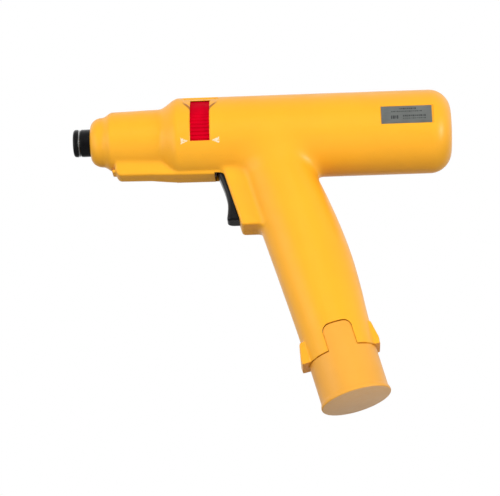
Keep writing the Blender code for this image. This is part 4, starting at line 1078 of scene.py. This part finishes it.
def shell_finish():
    """The shell's plastic, with a painted shade line along the sloping edge of the thumb scoops."""
    material = finish("yellow_abs", (0.95, 0.425, 0.016), 0.4, patch=26, variation=0.025, grain=0.45,
                      depth=3.5, worn=(0.98, 0.56, 0.1), rim=0.35,
                      speck=(0.82, 0.36, 0.015), speck_size=0.5, speck_limit=0.72)
    tree = material.node_tree
    parts = node(tree, "SeparateXYZ", {"Vector": (node(tree, "TexCoord"), "Object")})
    # the barrel's surface laid flat: distance from the window's middle, and distance round
    turn = maths(tree, "ARCTAN2", (parts, "Z"), maths(tree, "ABSOLUTE", (parts, "Y")))
    from_middle = maths(tree, "ADD", (parts, "X"), sum(WINDOW) / 2 * MM)
    flat = (node(tree, "CombineXYZ", {"X": maths(tree, "ABSOLUTE", from_middle),
                                      "Y": maths(tree, "MULTIPLY", turn, BARREL_R * MM)}), "Vector")
    inner, outer = [Vector((w, math.radians(angle) * BARREL_R)) for w, angle in SCOOP_SHADE_LINE]
    way = (outer - inner).normalized()
    start = (node(tree, "VectorMath", {0: flat, 1: (*(inner * MM), 0)}, operation="SUBTRACT"), "Vector")
    along = dot(tree, start, (*way, 0))
    across = maths(tree, "ABSOLUTE", dot(tree, start, (-way.y, way.x, 0)))
    band = graded(tree, across, 0.4 * MM, 1.25 * MM, 0.9, 0.0)
    reach = (outer - inner).length * MM
    fade = graded(tree, along, reach * 0.6, reach * 1.15, 1.0, 0.0)
    # painted shade: a dark brown stroke along each scoop's lower edge, fading out towards its top
    tint_over(material, maths(tree, "MULTIPLY", band, fade), (0.34, 0.1, 0.006, 1))
    return material


def cap_finish():
    """A paler batch of the shell's plastic, with a painted pale sheen on the downward-facing base."""
    material = finish("cap_abs", (0.84, 0.38, 0.042), 0.44, patch=22, variation=0.03, grain=0.45,
                      worn=(0.95, 0.58, 0.16), wear=0.35, rim=0.35,
                      speck=(0.8, 0.36, 0.03), speck_size=0.5, speck_limit=0.72)
    tree = material.node_tree
    # painted sheen: faces that point down the grip get a pale, greyer tint, broken up in patches
    base = graded(tree, dot(tree, (node(tree, "NewGeometry"), "Normal"), DOWN_GRIP), 0.9, 0.99)
    sheen_patches = noise(tree, (node(tree, "TexCoord"), "Object"), 2.2, 7.0, 0.7)
    mask = maths(tree, "MULTIPLY", base, graded(tree, sheen_patches, 0.3, 0.7, 0.7, 1.0))
    tint_over(material, mask, (0.93, 0.58, 0.3, 1))
    return material


def cell_finish():
    """A cell's printed film: dark body, copper-coloured upper band, bare metal ends."""
    material = finish("cell_film", (0.5, 0.5, 0.5), 0.3, metallic=0.35, patch=10, variation=0.03,
                      grain=0.4, depth=1.5, rim=0.1)
    tree = material.node_tree
    down = dot(tree, (node(tree, "TexCoord"), "Object"), DOWN_GRIP)
    top = (GRIP_X * math.sin(GRIP_TILT) + CELL_TOPS["battery_upper"]) * MM
    share = maths(tree, "DIVIDE", maths(tree, "SUBTRACT", down, top), CELL_PITCH * MM)
    metal, copper = (0.55, 0.55, 0.54), (0.52, 0.25, 0.09)
    white, dark = (0.7, 0.68, 0.62), (0.012, 0.014, 0.018)
    bands = ramp(tree, maths(tree, "FRACT", share), (0.0, metal), (0.062, copper), (0.3, white),
                 (0.315, dark), (0.955, white), (0.962, dark), (0.975, metal), interpolation="CONSTANT")
    tint_over(material, 0.94, bands)
    return material


def dress_cad_nodes(finishes):
    """Each CAD piece gets its slot's finish; some are replaced later."""
    slots = {part["node"]: part["material_slot"] for part in frame["record"]["subparts"]}
    for name, piece in frame["nodes"].items():
        piece.data.materials.clear()
        piece.data.materials.append(finishes[slots[name]])


# ---- studio

def make_studio(floor_finish):
    scene = bpy.context.scene
    scene.view_settings.view_transform = "Standard"
    world = bpy.data.worlds.new("studio")
    scene.world = world
    world.use_nodes = True
    tree = world.node_tree
    seen = tree.nodes["Background"]
    seen.inputs["Color"].default_value = (1, 1, 1, 1)
    seen.inputs["Strength"].default_value = 1.0
    lit = node(tree, "Background", {"Color": (0.97, 0.98, 1.0, 1), "Strength": DOME_LIGHT})
    # what glossy surfaces mirror: a white studio, dim on the side the camera looks from
    towards = node(tree, "SeparateXYZ", {"Vector": (node(tree, "TexCoord"), "Generated")})
    level = graded(tree, (towards, "Y"), -0.85, 0.35, *MIRRORED)
    height = graded(tree, (towards, "Z"), -0.4, 0.25, MIRRORED_BELOW, 1.0)
    mirrored = node(tree, "Background", {"Color": (1, 1, 1, 1),
                                         "Strength": maths(tree, "MULTIPLY", level, height)})
    path = node(tree, "LightPath")
    glossy = node(tree, "MixShader", {0: (path, "Is Glossy Ray"), 1: (lit, 0), 2: (mirrored, 0)})
    either = node(tree, "MixShader", {0: (path, "Is Camera Ray"), 1: (glossy, 0), 2: (seen, 0)})
    tree.links.new(either.outputs[0], tree.nodes["World Output"].inputs["Surface"])
    for name, place, size, power in LIGHTS:
        data = bpy.data.lights.new(name, "AREA")
        data.shape = "RECTANGLE"
        data.size, data.size_y = size
        data.energy = power
        light = linked(name, data)
        light.location = place
        light.rotation_euler = (Vector(LIGHTS_AIM) - Vector(place)).to_track_quat("-Z", "Y").to_euler()
        light.visible_glossy = name != "key"
    corners = ((-1, -1), (1, -1), (1, 1), (-1, 1))
    floor = mesh_object("floor", [(x * FLOOR_HALF, y * FLOOR_HALF, FLOOR_Z) for x, y in corners],
                        [(0, 1, 2, 3)])
    floor.data.materials.append(floor_finish)
    floor.visible_glossy = False


def make_camera():
    yaw, pitch, roll = (math.radians(angle) for angle in CAMERA_TURN)
    forward = Vector((math.sin(yaw) * math.cos(pitch), math.cos(yaw) * math.cos(pitch), math.sin(pitch)))
    level = Vector((math.cos(yaw), -math.sin(yaw), 0))
    upright = level.cross(forward)
    right = level * math.cos(roll) + upright * math.sin(roll)
    up = -level * math.sin(roll) + upright * math.cos(roll)
    data = bpy.data.cameras.new("camera")
    data.lens = LENS
    data.sensor_width = SENSOR
    data.sensor_fit = "HORIZONTAL"
    camera = linked("camera", data)
    turn = Matrix((right, up, -forward)).transposed()
    camera.matrix_world = Matrix.Translation(Vector(CAMERA) * MM) @ turn.to_4x4()
    bpy.context.scene.camera = camera


make_camera()
make_studio(finish("pale_floor", FLOOR_COLOUR, 0.7, patch=300, variation=0.015, grain=4, depth=20,
                   rim=0.1))
FINISHES = make_finishes()
dress_cad_nodes(FINISHES)
make_housing(FINISHES["yellow_shell"])
make_cap(FINISHES["cap"])
make_index_ring(FINISHES["red_ring"])
make_pointers(FINISHES["print"])
make_label(FINISHES["foil"], FINISHES["ink"])
make_trigger(FINISHES["black_plastic"])
make_nose(FINISHES["black_steel"], FINISHES["steel"])
make_screws(FINISHES["zinc"])
make_cells(FINISHES["cell_jacket"])
make_springs(FINISHES["steel"])
